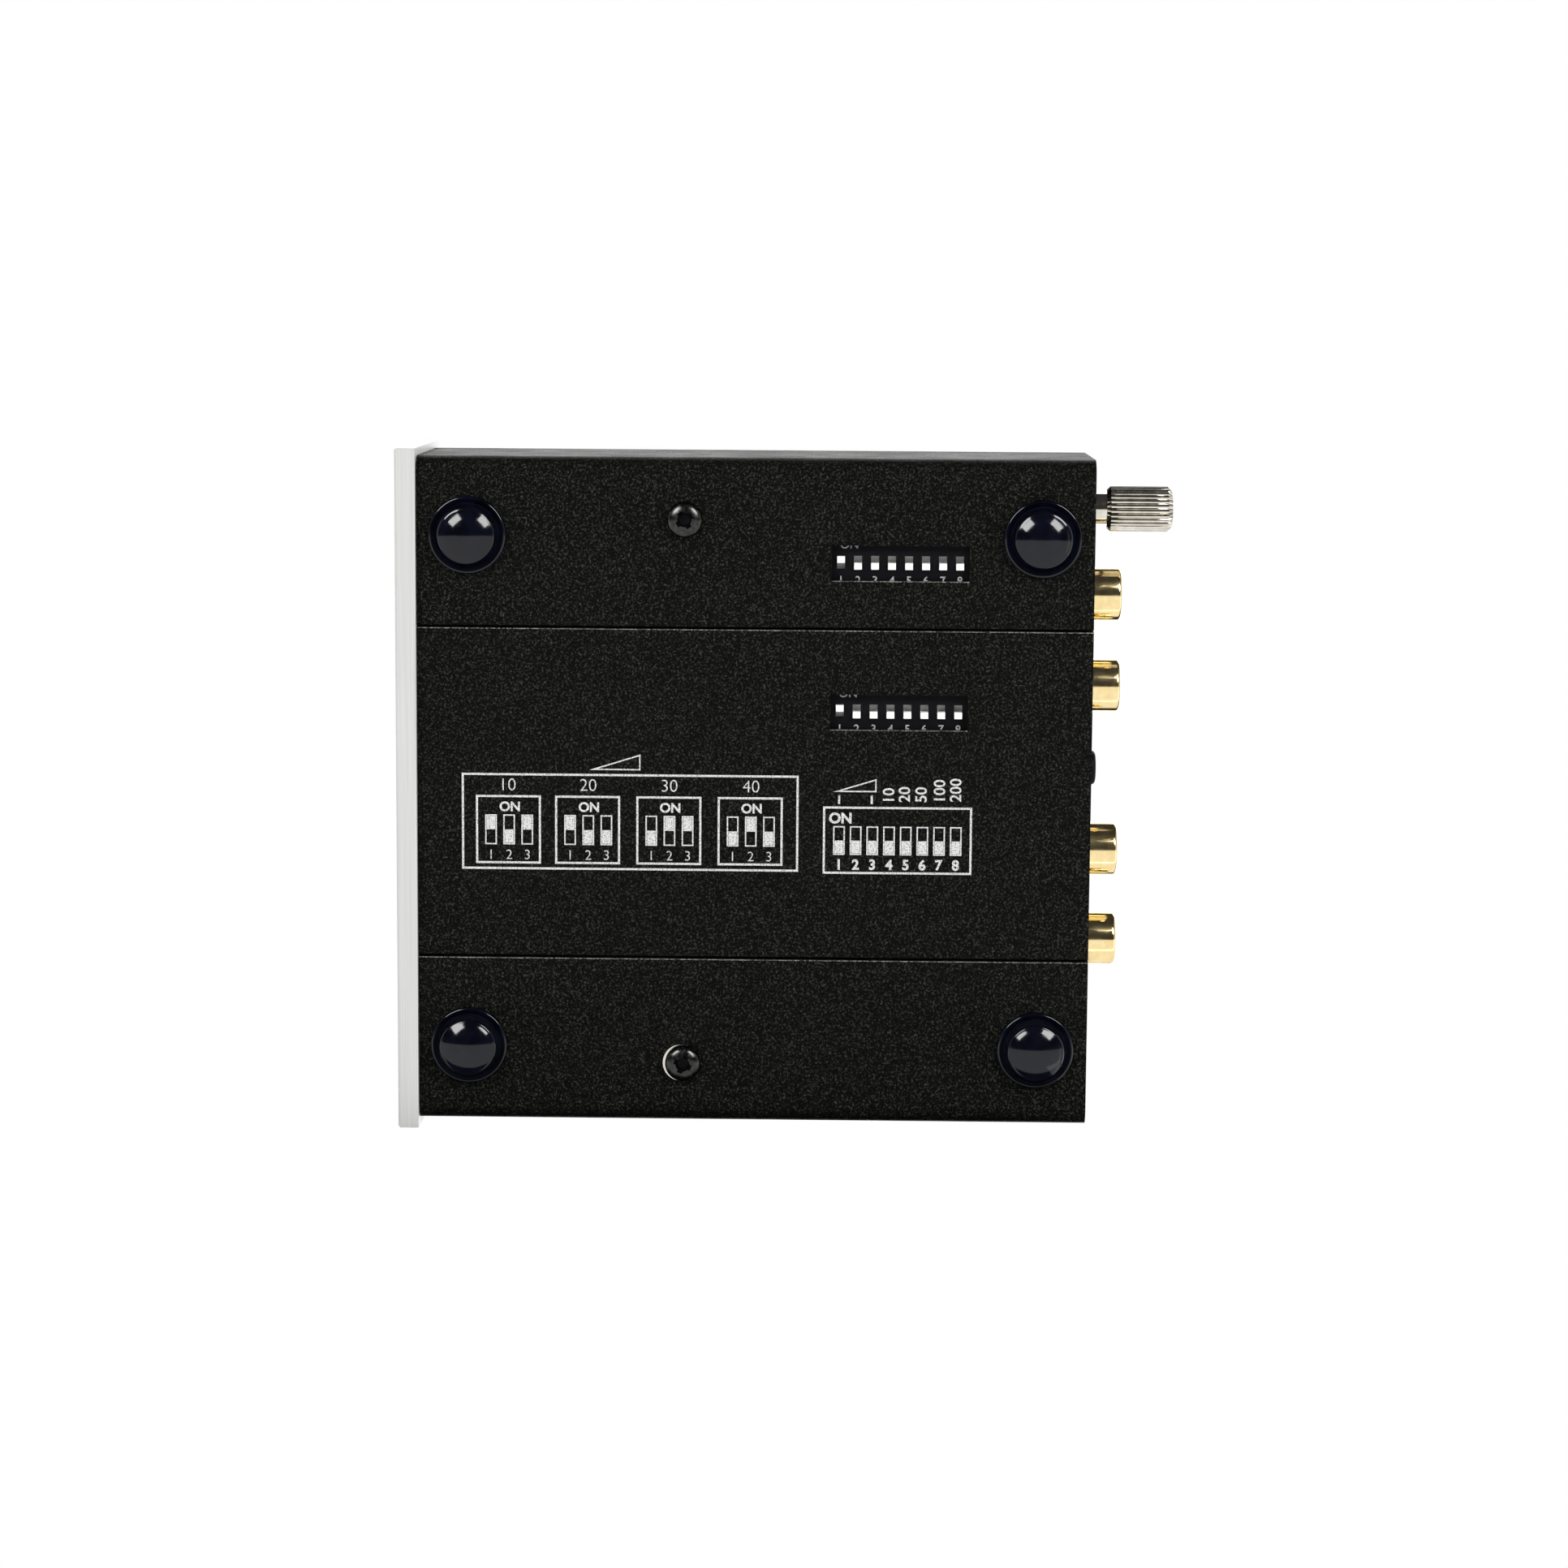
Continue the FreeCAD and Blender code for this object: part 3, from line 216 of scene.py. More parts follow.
def finish_of(slot):
    """The material of one of the record's slots, made the first time it is asked for."""
    name = "finish_" + slot
    if name not in bpy.data.materials:
        FINISHES[slot]().name = name
    return bpy.data.materials[name]


# Mesh pieces

def piece_from(bm, name, slot, body="chassis", finish=None):
    """Makes a piece of the mesh, riding on a body, with a slot's finish."""
    bmesh.ops.remove_doubles(bm, verts=bm.verts, dist=MERGE)
    bmesh.ops.recalc_face_normals(bm, faces=bm.faces)
    mesh = bpy.data.meshes.new(name)
    bm.to_mesh(mesh)
    bm.free()
    piece = bpy.data.objects.new(name, mesh)
    bpy.context.scene.collection.objects.link(piece)
    mesh.materials.append(finish or finish_of(slot))
    mesh.shade_smooth()
    mesh.set_sharp_from_angle(angle=SHARP)
    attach(piece, body)
    return piece


def turn(bm, outline, centre, axis, steps=96):
    """Spins an outline of (radius, along) points about an axis through a centre."""
    axis = Vector(axis)
    side = axis.orthogonal().normalized()
    verts = [bm.verts.new(Vector(centre) + side * r + axis * a) for r, a in outline]
    edges = [bm.edges.new(pair) for pair in zip(verts, verts[1:])]
    bmesh.ops.spin(bm, geom=verts + edges, cent=centre, axis=axis, dvec=(0, 0, 0),
                   angle=math.tau, steps=steps, use_merge=True, use_duplicate=False)


def swell(start, end, bulge, steps=8):
    """Points of the arc from start to end that stands out from its chord by bulge times it."""
    start, end = Vector(start), Vector(end)
    chord = end - start
    out = Vector((-chord.y, chord.x))
    radius = chord.length * (bulge / 2 + 0.125 / bulge)
    middle = (start + end) / 2 + out.normalized() * (bulge * chord.length - radius)
    turned = (start - middle).angle_signed(end - middle)
    points = []
    for i in range(1, steps + 1):
        arm = (start - middle).copy()
        arm.rotate(Matrix.Rotation(-turned * i / steps, 2))
        points.append(tuple(middle + arm))
    return points


def slab(bm, x_low, x_high, y_low, y_high, z_low, z_high):
    """A block between two corners."""
    made = bmesh.ops.create_cube(bm, size=1.0)["verts"]
    bmesh.ops.scale(bm, verts=made, vec=(x_high - x_low, y_high - y_low, z_high - z_low))
    bmesh.ops.translate(bm, verts=made, vec=((x_low + x_high) / 2, (y_low + y_high) / 2,
                                             (z_low + z_high) / 2))
    return made


class FootSizes(PropertyGroup):
    spread: FloatProperty(name="Spread", description="How far the soft rim spreads past the plain foot",
                          default=0.2 * MM, unit="LENGTH")
    rim_height: FloatProperty(name="Rim height", description="Height of the rim at the case",
                              default=0.95 * MM, unit="LENGTH")
    edge: FloatProperty(name="Edge", description="Round of the rim, and depth of the moat behind it",
                        default=0.35 * MM, unit="LENGTH")
    side_radius: FloatProperty(name="Side radius", description="Radius of the dome where it leaves the moat",
                               default=4.5 * MM, unit="LENGTH")
    crown_radius: FloatProperty(name="Crown radius", description="Where the steep side meets the crown",
                                default=3.9 * MM, unit="LENGTH")
    crown_rise: FloatProperty(name="Crown rise", description="Height of the crown's edge over the shelf",
                              default=1.13 * MM, unit="LENGTH")
    crown_swell: FloatProperty(name="Crown swell", description="Swell of the crown's arc from its chord",
                               default=0.0705)


RIM_SWELL = 0.2
MOAT_SLOPE = 0.4
SHOULDER_IN = 0.15 * MM
SHOULDER_RISE = 0.5 * MM
SIDE_SWELL = 0.16


class PREAMP_OT_rubber_feet(Operator):
    """Smooth domed rubber feet in place of the four plain ones"""
    bl_idname = "preamp.rubber_feet"
    bl_label = "Rubber feet"

    def execute(self, context):
        sizes = context.scene.preamp_feet
        for name in ("foot_front_left", "foot_front_right", "foot_rear_left", "foot_rear_right"):
            low, high = (Vector(corner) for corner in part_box(name))
            radius = (high.x - low.x) / 2 + sizes.spread
            crown = (sizes.crown_radius, sizes.crown_rise)
            rim = high.z - sizes.rim_height
            moat = (sizes.side_radius + sizes.edge, rim + sizes.edge)
            shoulder = (sizes.side_radius - SHOULDER_IN, sizes.crown_rise + SHOULDER_RISE)
            outline = [(0.0, high.z), (radius, high.z), (radius, rim + sizes.edge)]
            outline += swell(outline[-1], (radius - sizes.edge, rim), RIM_SWELL, 5)
            outline += [((outline[-1][0] + moat[0]) / 2, rim + MOAT_SLOPE * sizes.edge), moat]
            outline += [(sizes.side_radius, rim - sizes.edge), shoulder]
            outline += swell(shoulder, crown, SIDE_SWELL, 6)
            outline += swell(crown, (0.0, low.z), sizes.crown_swell, 24)[:-1]
            outline.append((0.0, low.z))
            bm = bmesh.new()
            turn(bm, outline, ((low.x + high.x) / 2, (low.y + high.y) / 2, 0), (0, 0, 1))
            foot = piece_from(bm, "domed_" + name, "foot_rubber")
            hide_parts(name)
        return {"FINISHED"}


class ScrewSizes(PropertyGroup):
    recess_reach: FloatProperty(name="Recess reach", description="Half the length of the cross recess",
                                default=1.5 * MM, unit="LENGTH")
    recess_width: FloatProperty(name="Recess width", description="Width of each arm of the cross",
                                default=0.85 * MM, unit="LENGTH")
    recess_depth: FloatProperty(name="Recess depth", description="Depth of the cross recess",
                                default=1.3 * MM, unit="LENGTH")
    pit_radius: FloatProperty(name="Pit radius", description="Mouth of the round pit in the middle",
                              default=1.1 * MM, unit="LENGTH")
    worn_width: FloatProperty(name="Worn ring", description="Width of bare metal beside one head",
                              default=0.28 * MM, unit="LENGTH")


HEAD_RADIUS = 2.7 * MM
SHANK_RADIUS = 1.45 * MM
SHANK_BEVEL = 0.2 * MM
# Radius and height over the crown of the head's round top, in millimetres
HEAD_TOP = ((0.0, 0.0), (0.7, 0.02), (1.35, 0.1), (1.9, 0.25), (2.35, 0.5), (2.6, 0.75), (2.7, 1.05))
HEAD_TURNS = {"left": 22, "right": 57}
FLOOR_NARROWING = (0.38, 0.8)
PIT_NARROWING = 0.7
CUT_OVERRUN = 0.1 * MM
WORN_INSIDE = 1.9 * MM
WORN_THICK = 0.03 * MM


def tapered_arm(bm, reach, width, z_mouth, z_floor, along_x):
    """One arm of a cross recess, narrowing to its floor."""
    made = slab(bm, -reach, reach, -width / 2, width / 2, z_mouth, z_floor)
    for vert in made:
        if abs(vert.co.z - z_floor) < MERGE:
            vert.co.x *= FLOOR_NARROWING[0]
            vert.co.y *= FLOOR_NARROWING[1]
    if not along_x:
        bmesh.ops.rotate(bm, verts=made, cent=(0, 0, 0), matrix=Matrix.Rotation(math.pi / 2, 3, "Z"))
    return made


def recess_cutter(kind, sizes, mouth, floor):
    """One of the three solids that cut a recess, with black moulding on its faces as painted shade inside the
    recess.
    """
    cut = bmesh.new()
    if kind == "pit":
        turn(cut, [(0.0, mouth), (sizes.pit_radius, mouth), (PIT_NARROWING * sizes.pit_radius, floor),
                   (0.0, floor + CUT_OVERRUN)], (0, 0, 0), (0, 0, 1), 32)
    else:
        tapered_arm(cut, sizes.recess_reach, sizes.recess_width, mouth, floor, kind == "along")
    bmesh.ops.remove_doubles(cut, verts=cut.verts, dist=MERGE)
    bmesh.ops.recalc_face_normals(cut, faces=cut.faces)
    # Painted shade: the cut faces take the black moulding, so the recess walls stay black however they are
    # lit
    for face in cut.faces:
        face.material_index = 1
    mesh = bpy.data.meshes.new("recess")
    cut.to_mesh(mesh)
    cut.free()
    mesh.materials.append(finish_of("black_screw"))
    mesh.materials.append(finish_of("black_plastic"))
    cutter = bpy.data.objects.new("recess", mesh)
    bpy.context.scene.collection.objects.link(cutter)
    return cutter


def cut_away(piece, cutters):
    """Cuts the solids out of a piece and removes them."""
    for cutter in cutters:
        hollow = piece.modifiers.new("recess", "BOOLEAN")
        hollow.operation = "DIFFERENCE"
        hollow.solver = "EXACT"
        hollow.object = cutter
    bpy.context.view_layer.update()
    evaluated = piece.evaluated_get(bpy.context.evaluated_depsgraph_get())
    mesh = bpy.data.meshes.new_from_object(evaluated)
    piece.modifiers.clear()
    piece.data = mesh
    for cutter in cutters:
        bpy.data.objects.remove(cutter)


class PREAMP_OT_cover_screws(Operator):
    """Pan-head screws with cross recesses in the underside"""
    bl_idname = "preamp.cover_screws"
    bl_label = "Cover screws"

    def execute(self, context):
        sizes = context.scene.preamp_screws
        low, high = (Vector(corner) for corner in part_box("cover_screws"))
        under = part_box("top_cover")[0][2]
        y = (low.y + high.y) / 2
        for side, x in (("left", low.x + HEAD_RADIUS), ("right", high.x - HEAD_RADIUS)):
            outline = [(radius * MM, low.z + rise * MM) for radius, rise in HEAD_TOP]
            outline += [(HEAD_RADIUS, under), (SHANK_RADIUS, under),
                        (SHANK_RADIUS, high.z - SHANK_BEVEL), (SHANK_RADIUS - SHANK_BEVEL, high.z),
                        (0.0, high.z)]
            bm = bmesh.new()
            turn(bm, outline, (0, 0, 0), (0, 0, 1), 72)
            screw = piece_from(bm, "pan_screw_" + side, "black_screw")
            # The second slot holds the black moulding for the recess's painted shade
            screw.data.materials.append(finish_of("black_plastic"))
            mouth, floor = low.z - CUT_OVERRUN, low.z + sizes.recess_depth
            cut_away(screw, [recess_cutter(kind, sizes, mouth, floor) for kind in ("along", "across", "pit")])
            angle = math.radians(HEAD_TURNS[side])
            screw.data.transform(Matrix.Translation((x, y, 0)) @ Matrix.Rotation(angle, 4, "Z"))
            screw.data.shade_smooth()
            screw.data.set_sharp_from_angle(angle=SHARP)
            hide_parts("cover_screws")
        outside = HEAD_RADIUS + sizes.worn_width / 3
        bm = bmesh.new()
        turn(bm, [(WORN_INSIDE, under), (outside, under), (outside, under - WORN_THICK),
                  (WORN_INSIDE, under - WORN_THICK), (WORN_INSIDE, under)],
             (low.x + HEAD_RADIUS, y - sizes.worn_width, 0), (0, 0, 1), 64)
        piece_from(bm, "worn_ring", "nickel")
        return {"FINISHED"}


# Printed marks

PRINT_THICK = 0.02 * MM


def print_frame(along, across, face, sideways=False):
    """Where a mark on the underside goes: its text runs along +Y, or along +X if sideways."""
    columns = ((1, 0, 0), (0, -1, 0), (0, 0, -1)) if sideways else ((0, 1, 0), (1, 0, 0), (0, 0, -1))
    turned = Matrix(columns).transposed().to_4x4()
    return Matrix.Translation((across, along, face)) @ turned


def words(bm, text, height, place, weight=0.0):
    """Adds flat text, centred on its place, as mesh."""
    curve = bpy.data.curves.new("mark", "FONT")
    curve.body = text
    curve.align_x = "CENTER"
    curve.align_y = "CENTER"
    curve.size = height / 0.73
    curve.offset = weight
    curve.extrude = PRINT_THICK / 2
    curve.resolution_u = 6
    holder = bpy.data.objects.new("mark", curve)
    bpy.context.scene.collection.objects.link(holder)
    bpy.context.view_layer.update()
    mesh = bpy.data.meshes.new_from_object(holder.evaluated_get(bpy.context.evaluated_depsgraph_get()))
    bpy.data.objects.remove(holder)
    xs = [v.co.x for v in mesh.vertices]
    ys = [v.co.y for v in mesh.vertices]
    middle = Matrix.Translation((-(min(xs) + max(xs)) / 2, -(min(ys) + max(ys)) / 2, 0))
    mesh.transform(place @ middle)
    bm.from_mesh(mesh)
    bpy.data.meshes.remove(mesh)


def bar(bm, along_low, along_high, across_low, across_high, face):
    slab(bm, across_low, across_high, along_low, along_high, face - PRINT_THICK / 2,
         face + PRINT_THICK / 2)


def ruled_box(bm, along_low, along_high, across_low, across_high, face, line):
    """A rectangle drawn with a line, whose outer edges are given."""
    bar(bm, along_low, along_high, across_high - line, across_high, face)
    bar(bm, along_low, along_high, across_low, across_low + line, face)
    bar(bm, along_low, along_low + line, across_low + line, across_high - line, face)
    bar(bm, along_high - line, along_high, across_low + line, across_high - line, face)


def drawn_slider(bm, along, across_low, across_high, width, up, face, line):
    """The picture of one switch: a ruled slot with the half that the slider fills painted in."""
    ruled_box(bm, along - width / 2, along + width / 2, across_low, across_high, face, line)
    middle = (across_low + across_high) / 2
    room = line + 0.05 * MM
    low, high = (middle, across_high - room) if up else (across_low + room, middle)
    bar(bm, along - width / 2 + room, along + width / 2 - room, low, high, face)


def wedge(bm, along_low, along_high, across_low, across_high, face, line):
    """A rising level mark: a long triangle drawn with a line."""
    corners = [Vector((along_low, across_low)), Vector((along_high, across_low)),
               Vector((along_high, across_high))]
    inner = []
    for i, corner in enumerate(corners):
        before = (corners[i - 1] - corner).normalized()
        after = (corners[(i + 1) % 3] - corner).normalized()
        half = before.angle(after) / 2
        inner.append(corner + (before + after).normalized() * line / math.sin(half))
    rings = []
    for z in (face - PRINT_THICK / 2, face + PRINT_THICK / 2):
        rings.append([[bm.verts.new((c.y, c.x, z)) for c in ring] for ring in (corners, inner)])
    for i in range(3):
        j = (i + 1) % 3
        (low_out, low_in), (high_out, high_in) = rings
        bm.faces.new((low_out[i], low_out[j], low_in[j], low_in[i]))
        bm.faces.new((high_out[i], high_in[i], high_in[j], high_out[j]))
        bm.faces.new((low_out[i], high_out[i], high_out[j], low_out[j]))
        bm.faces.new((low_in[i], low_in[j], high_in[j], high_in[i]))


class LegendSizes(PropertyGroup):
    line: FloatProperty(name="Line", description="Width of the ruled boxes' lines",
                        default=0.32 * MM, unit="LENGTH")
    slot_line: FloatProperty(name="Slot line", description="Width of the drawn slots' lines",
                             default=0.2 * MM, unit="LENGTH")
    slot_width: FloatProperty(name="Slot width", description="Width of a drawn slot",
                              default=1.76 * MM, unit="LENGTH")
    numeral: FloatProperty(name="Numerals", description="Height of the switch numerals",
                           default=1.55 * MM, unit="LENGTH")
    label: FloatProperty(name="Labels", description="Height of the numbers over the boxes",
                         default=1.95 * MM, unit="LENGTH")


# The legend's places in millimetres: along from the panel's front, then across from the case's middle
GAIN_FRAME = (9.8, 60.5, -11.6, 3.0)
GAIN_WEDGE = (29.0, 36.7, 3.6, 6.0)
GAIN_BOX_HALF = 4.9
GAIN_BOX_ACROSS = (-10.72, -0.33)
GAIN_SLOT_ACROSS = (-7.83, -3.27)
GAIN_PITCH = 2.735
LOAD_FRAME = (64.2, 86.6, -11.85, -1.62)
LOAD_WEDGE = (65.7, 72.2, 0.6, 2.6)
LOAD_SLOT_ACROSS = (-8.96, -4.59)
LOAD_START = 66.62
LOAD_PITCH = 2.51
LOAD_TICKS = (66.6, 71.5)
TICK_HALF = 0.16
TICK_ACROSS = (-1.2, 0.1)
LEGEND_SHIFT = -0.12
# Each gain setting's number, the middle of its box, and which of its three switches are up
SETTINGS = (("10", 16.82, (True, False, True)), ("20", 28.75, (True, False, False)),
            ("30", 40.99, (False, True, True)), ("40", 53.24, (False, True, False)))
# Each load's number and its place along the case
LOADS = (("10", 74.02), ("20", 76.39), ("50", 78.89), ("100", 81.65), ("200", 84.08))


class PREAMP_OT_legend(Operator):
    """The white setting marks printed on the underside: boxes, drawn switches and plain numbers"""
    bl_idname = "preamp.legend"
    bl_label = "Setting marks"

    def execute(self, context):
        sizes = context.scene.preamp_legend
        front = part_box("front_panel")[0][1]
        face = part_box("base_tray")[0][2] - PRINT_THICK / 2

        def along(mm):
            return front + mm * MM

        def area(start, end, across_low, across_high):
            return along(start), along(end), across_low * MM, across_high * MM

        def mark(text, height, start, across, weight, sideways=False):
            words(bm, text, height, print_frame(along(start), across * MM, face, sideways), weight)

        def drawn_switch(number, start, slot, up, numeral_across, weight):
            drawn_slider(bm, along(start), slot[0] * MM, slot[1] * MM, sizes.slot_width, up, face,
                         sizes.slot_line)
            mark(str(number), sizes.numeral, start, numeral_across, weight)

        bm = bmesh.new()
        ruled_box(bm, *area(*GAIN_FRAME), face, sizes.line)
        wedge(bm, *area(*GAIN_WEDGE), face, sizes.slot_line)
        for label, middle, states in SETTINGS:
            ruled_box(bm, *area(middle - GAIN_BOX_HALF, middle + GAIN_BOX_HALF, *GAIN_BOX_ACROSS), face,
                      sizes.line)
            mark(label, sizes.label, middle + 0.1, 1.3, -0.03 * MM)
            mark("ON", 1.45 * MM, middle + 0.2, -2.05, 0.06 * MM)
            for number, up in enumerate(states, start=1):
                drawn_switch(number, middle + 0.1 + (number - 2) * GAIN_PITCH, GAIN_SLOT_ACROSS, up, -9.34,
                             -0.02 * MM)
        ruled_box(bm, *area(*LOAD_FRAME), face, sizes.line)
        mark("ON", 1.6 * MM, 66.8, -3.36, 0.08 * MM)
        for number in range(1, 9):
            drawn_switch(number, LOAD_START + (number - 1) * LOAD_PITCH, LOAD_SLOT_ACROSS, False, -10.42,
                         0.07 * MM)
        wedge(bm, *area(*LOAD_WEDGE), face, sizes.slot_line)
        for tick in LOAD_TICKS:
            bar(bm, *area(tick - TICK_HALF, tick + TICK_HALF, *TICK_ACROSS), face)
        for label, start in LOADS:
            mark(label, 1.75 * MM, start, -1.15 + 0.72 * len(label), 0.03 * MM, sideways=True)
        bmesh.ops.translate(bm, verts=bm.verts, vec=(LEGEND_SHIFT * MM, 0, 0))
        piece_from(bm, "setting_marks", "white_plastic", finish=screen_print())
        return {"FINISHED"}


FLOOR_HALF = (1.0 * MM, 0.6 * MM)
FLOOR_THICK = 0.03 * MM
NUMERAL_ACROSS = -2.6 * MM
ON_PLACE = (3.2 * MM, 2.75 * MM)


class PREAMP_OT_switch_marks(Operator):
    """The pale floors of the switch slots, white moulding made whiter than the sliders as painted light
    against the slots' shade, and the tiny print on each switch bank
    """
    bl_idname = "preamp.switch_marks"
    bl_label = "Switch banks"

    def execute(self, context):
        # Painted light: the floors are white moulding, made whiter than the sliders so they stay pale in the
        # shade of the deep narrow slots
        bright = moulded("painted_lit_moulding", (0.93, 0.93, 0.9), (0.97, 0.97, 0.94), 0.5)
        faded = screen_print("faded_print", 0.42, 0.16)
        for bank in ("gain_switch", "load_switch"):
            low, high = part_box(bank + "_body")
            face = low[2]
            middle = (low[0] + high[0]) / 2
            floors = bmesh.new()
            marks = bmesh.new()
            for number in range(1, 9):
                tip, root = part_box(f"{bank}_slider_{number}")
                y = (tip[1] + root[1]) / 2
                floor = root[2] + 0.01 * MM
                slab(floors, middle - FLOOR_HALF[0], middle + FLOOR_HALF[0], y - FLOOR_HALF[1],
                     y + FLOOR_HALF[1], floor, floor + FLOOR_THICK)
                words(marks, str(number), 1.25 * MM,
                      print_frame(y, middle + NUMERAL_ACROSS, face - PRINT_THICK / 2), 0.02 * MM)
            words(marks, "ON", 1.3 * MM,
                  print_frame(low[1] + ON_PLACE[0], middle + ON_PLACE[1], face - PRINT_THICK / 2), 0.02 * MM)
            piece_from(floors, bank + "_slot_floors", "white_plastic", finish=bright)
            piece_from(marks, bank + "_marks", "white_plastic", finish=faded)
        return {"FINISHED"}


# Places and widths of the painted edge highlights along the seams and under the windows
SEAMS_ACROSS = (24.66, -25.36)
SEAM_WIDTH = 0.13
WINDOW_EDGE = -2.65 * MM
WINDOW_HALF = 10.3 * MM
WINDOW_LINE = 0.12 * MM


class PREAMP_OT_worn_edges(Operator):
    """Thin bright lines along the seams and under the windows: painted highlights where the sheet's edges
    catch the light
    """
    bl_idname = "preamp.worn_edges"
    bl_label = "Painted edge glints"

    def execute(self, context):
        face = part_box("top_cover")[0][2]
        front, rear = (corner[1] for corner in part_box("top_cover"))
        bm = bmesh.new()
        for across in SEAMS_ACROSS:
            bar(bm, front, rear, across * MM, (across + SEAM_WIDTH) * MM, face - PRINT_THICK / 2)
        for bank in ("gain_switch", "load_switch"):
            low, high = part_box(bank + "_body")
            across = (low[0] + high[0]) / 2 + WINDOW_EDGE
            middle = (low[1] + high[1]) / 2
            bar(bm, middle - WINDOW_HALF, middle + WINDOW_HALF, across - WINDOW_LINE, across,
                face - PRINT_THICK / 2)
        # Painted highlight: a near-black coat with pale specks, standing in for the light caught by the seam
        # lips and the window edges
        made = material("painted_glint_coat", IOR=1.4, Specular_IOR_Level=0.3, Roughness=0.4)
        specks_and_glints = grain(made, 0.26 * MM, detail=2.0, roughness=0.7)
        feed(made, tint(made, specks_and_glints, (0.003, 0.003, 0.002), (0.3, 0.3, 0.27), 0.42, 0.66), "Base Color")
        piece_from(bm, "worn_edges", "case_paint", finish=made)
        return {"FINISHED"}


# Rear fittings

class NutSizes(PropertyGroup):
    ridges: IntProperty(name="Ridges", description="Ridges round the knurl", default=27)
    depth: FloatProperty(name="Groove depth", description="Depth of the knurl's grooves",
                         default=0.34 * MM, unit="LENGTH")
    bevel: FloatProperty(name="Bevel", description="Bevel at both ends of the knurl",
                         default=0.6 * MM, unit="LENGTH")
    knurl: FloatProperty(name="Knurl", description="Length of the knurled part",
                         default=10.0 * MM, unit="LENGTH")
    collar: FloatProperty(name="Collar", description="Radius of the collar against the washer",
                          default=2.4 * MM, unit="LENGTH")


NUT_BORE = 2.0 * MM
POINTS_PER_RIDGE = 10
RIDGE_FULLNESS = 0.8


class PREAMP_OT_thumb_nut(Operator):
    """The ground terminal's thumb nut with rounded knurl ridges"""
    bl_idname = "preamp.thumb_nut"
    bl_label = "Thumb nut"

    def execute(self, context):
        sizes = context.scene.preamp_nut
        low, high = (Vector(corner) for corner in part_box("ground_thumb_nut"))
        centre = (low + high) / 2
        radius = (high.z - low.z) / 2
        start = high.y - sizes.knurl
        stations = [(NUT_BORE, low.y, 0), (sizes.collar, low.y, 0), (sizes.collar, start, 0),
                    (radius - sizes.bevel, start, 0), (radius, start + sizes.bevel, 1)]
        run = high.y - 2 * sizes.bevel - start
        stations += [(radius, start + sizes.bevel + run * i / 4, 1) for i in range(1, 4)]
        stations += [(radius, high.y - sizes.bevel, 1), (radius - sizes.bevel, high.y, 0),
                     (0.6 * radius, high.y, 0), (0.0, high.y, 0)]
        count = sizes.ridges * POINTS_PER_RIDGE
        bm = bmesh.new()
        rings = []
        for r, y, knurled in stations:
            ring = []
            for i in range(count):
                angle = math.tau * i / count
                rise = abs(math.cos(sizes.ridges * angle / 2)) ** RIDGE_FULLNESS
                here = r - knurled * sizes.depth * (1 - rise)
                ring.append(bm.verts.new((centre.x + here * math.cos(angle), y,
                                          centre.z + here * math.sin(angle))))
            rings.append(ring)
        for ring, following in zip(rings, rings[1:]):
            for i in range(count):
                j = (i + 1) % count
                bm.faces.new((ring[i], ring[j], following[j], following[i]))
        bmesh.ops.holes_fill(bm, edges=[e for e in bm.edges if e.is_boundary], sides=0)
        nut = piece_from(bm, "knurled_thumb_nut", "nickel", body="thumb_nut")
        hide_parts("ground_thumb_nut")
        return {"FINISHED"}


class SocketSizes(PropertyGroup):
    bore: FloatProperty(name="Bore", description="Inside radius of a socket's sleeve",
                        default=3.45 * MM, unit="LENGTH")
    radius: FloatProperty(name="Radius", description="Outside radius of a socket's sleeve",
                          default=4.13 * MM, unit="LENGTH")
    bevel: FloatProperty(name="Bevel", description="Bevel at a sleeve's tip",
                         default=0.5 * MM, unit="LENGTH")


class PREAMP_OT_socket_sleeves(Operator):
    """Smooth turned sleeves for the four signal sockets"""
    bl_idname = "preamp.socket_sleeves"
    bl_label = "Socket sleeves"

    def execute(self, context):
        sizes = context.scene.preamp_sockets
        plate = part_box("rear_panel")[1][1]
        for name in ("input_left", "input_right", "output_left", "output_right"):
            low, high = (Vector(corner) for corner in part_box(name + "_sleeve"))
            centre = (low + high) / 2
            flange = (high.z - low.z) / 2
            round_end = [(sizes.radius - sizes.bevel * (1 - math.cos(a)) * 0.9,
                          high.y - sizes.bevel * (1 - math.sin(a)))
                         for a in (0.0, 0.4, 0.8, 1.2, math.pi / 2)]
            outline = [(sizes.bore, low.y), (flange, low.y), (flange, plate), (sizes.radius, plate)]
            outline += round_end
            outline += [(sizes.bore + 0.1 * MM, high.y), (sizes.bore, high.y - 0.1 * MM),
                        (sizes.bore, low.y)]
            bm = bmesh.new()
            turn(bm, outline, (centre.x, 0, centre.z), (0, 1, 0))
            sleeve = piece_from(bm, name + "_turned_sleeve", "gold")
            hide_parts(name + "_sleeve")
        return {"FINISHED"}


class PREAMP_OT_node_finishes(Operator):
    """Gives every carried-over part the finish of its slot"""
    bl_idname = "preamp.node_finishes"
    bl_label = "Finishes"

    def execute(self, context):
        slots = {part["node"]: part["material_slot"] for part in frame["record"]["subparts"]}
        for name, slot in slots.items():
            node = bpy.data.objects[name]
            finish = finish_of(slot)
            if node.data.materials:
                for i in range(len(node.data.materials)):
                    node.data.materials[i] = finish
            else:
                node.data.materials.append(finish)
        return {"FINISHED"}


# Stage

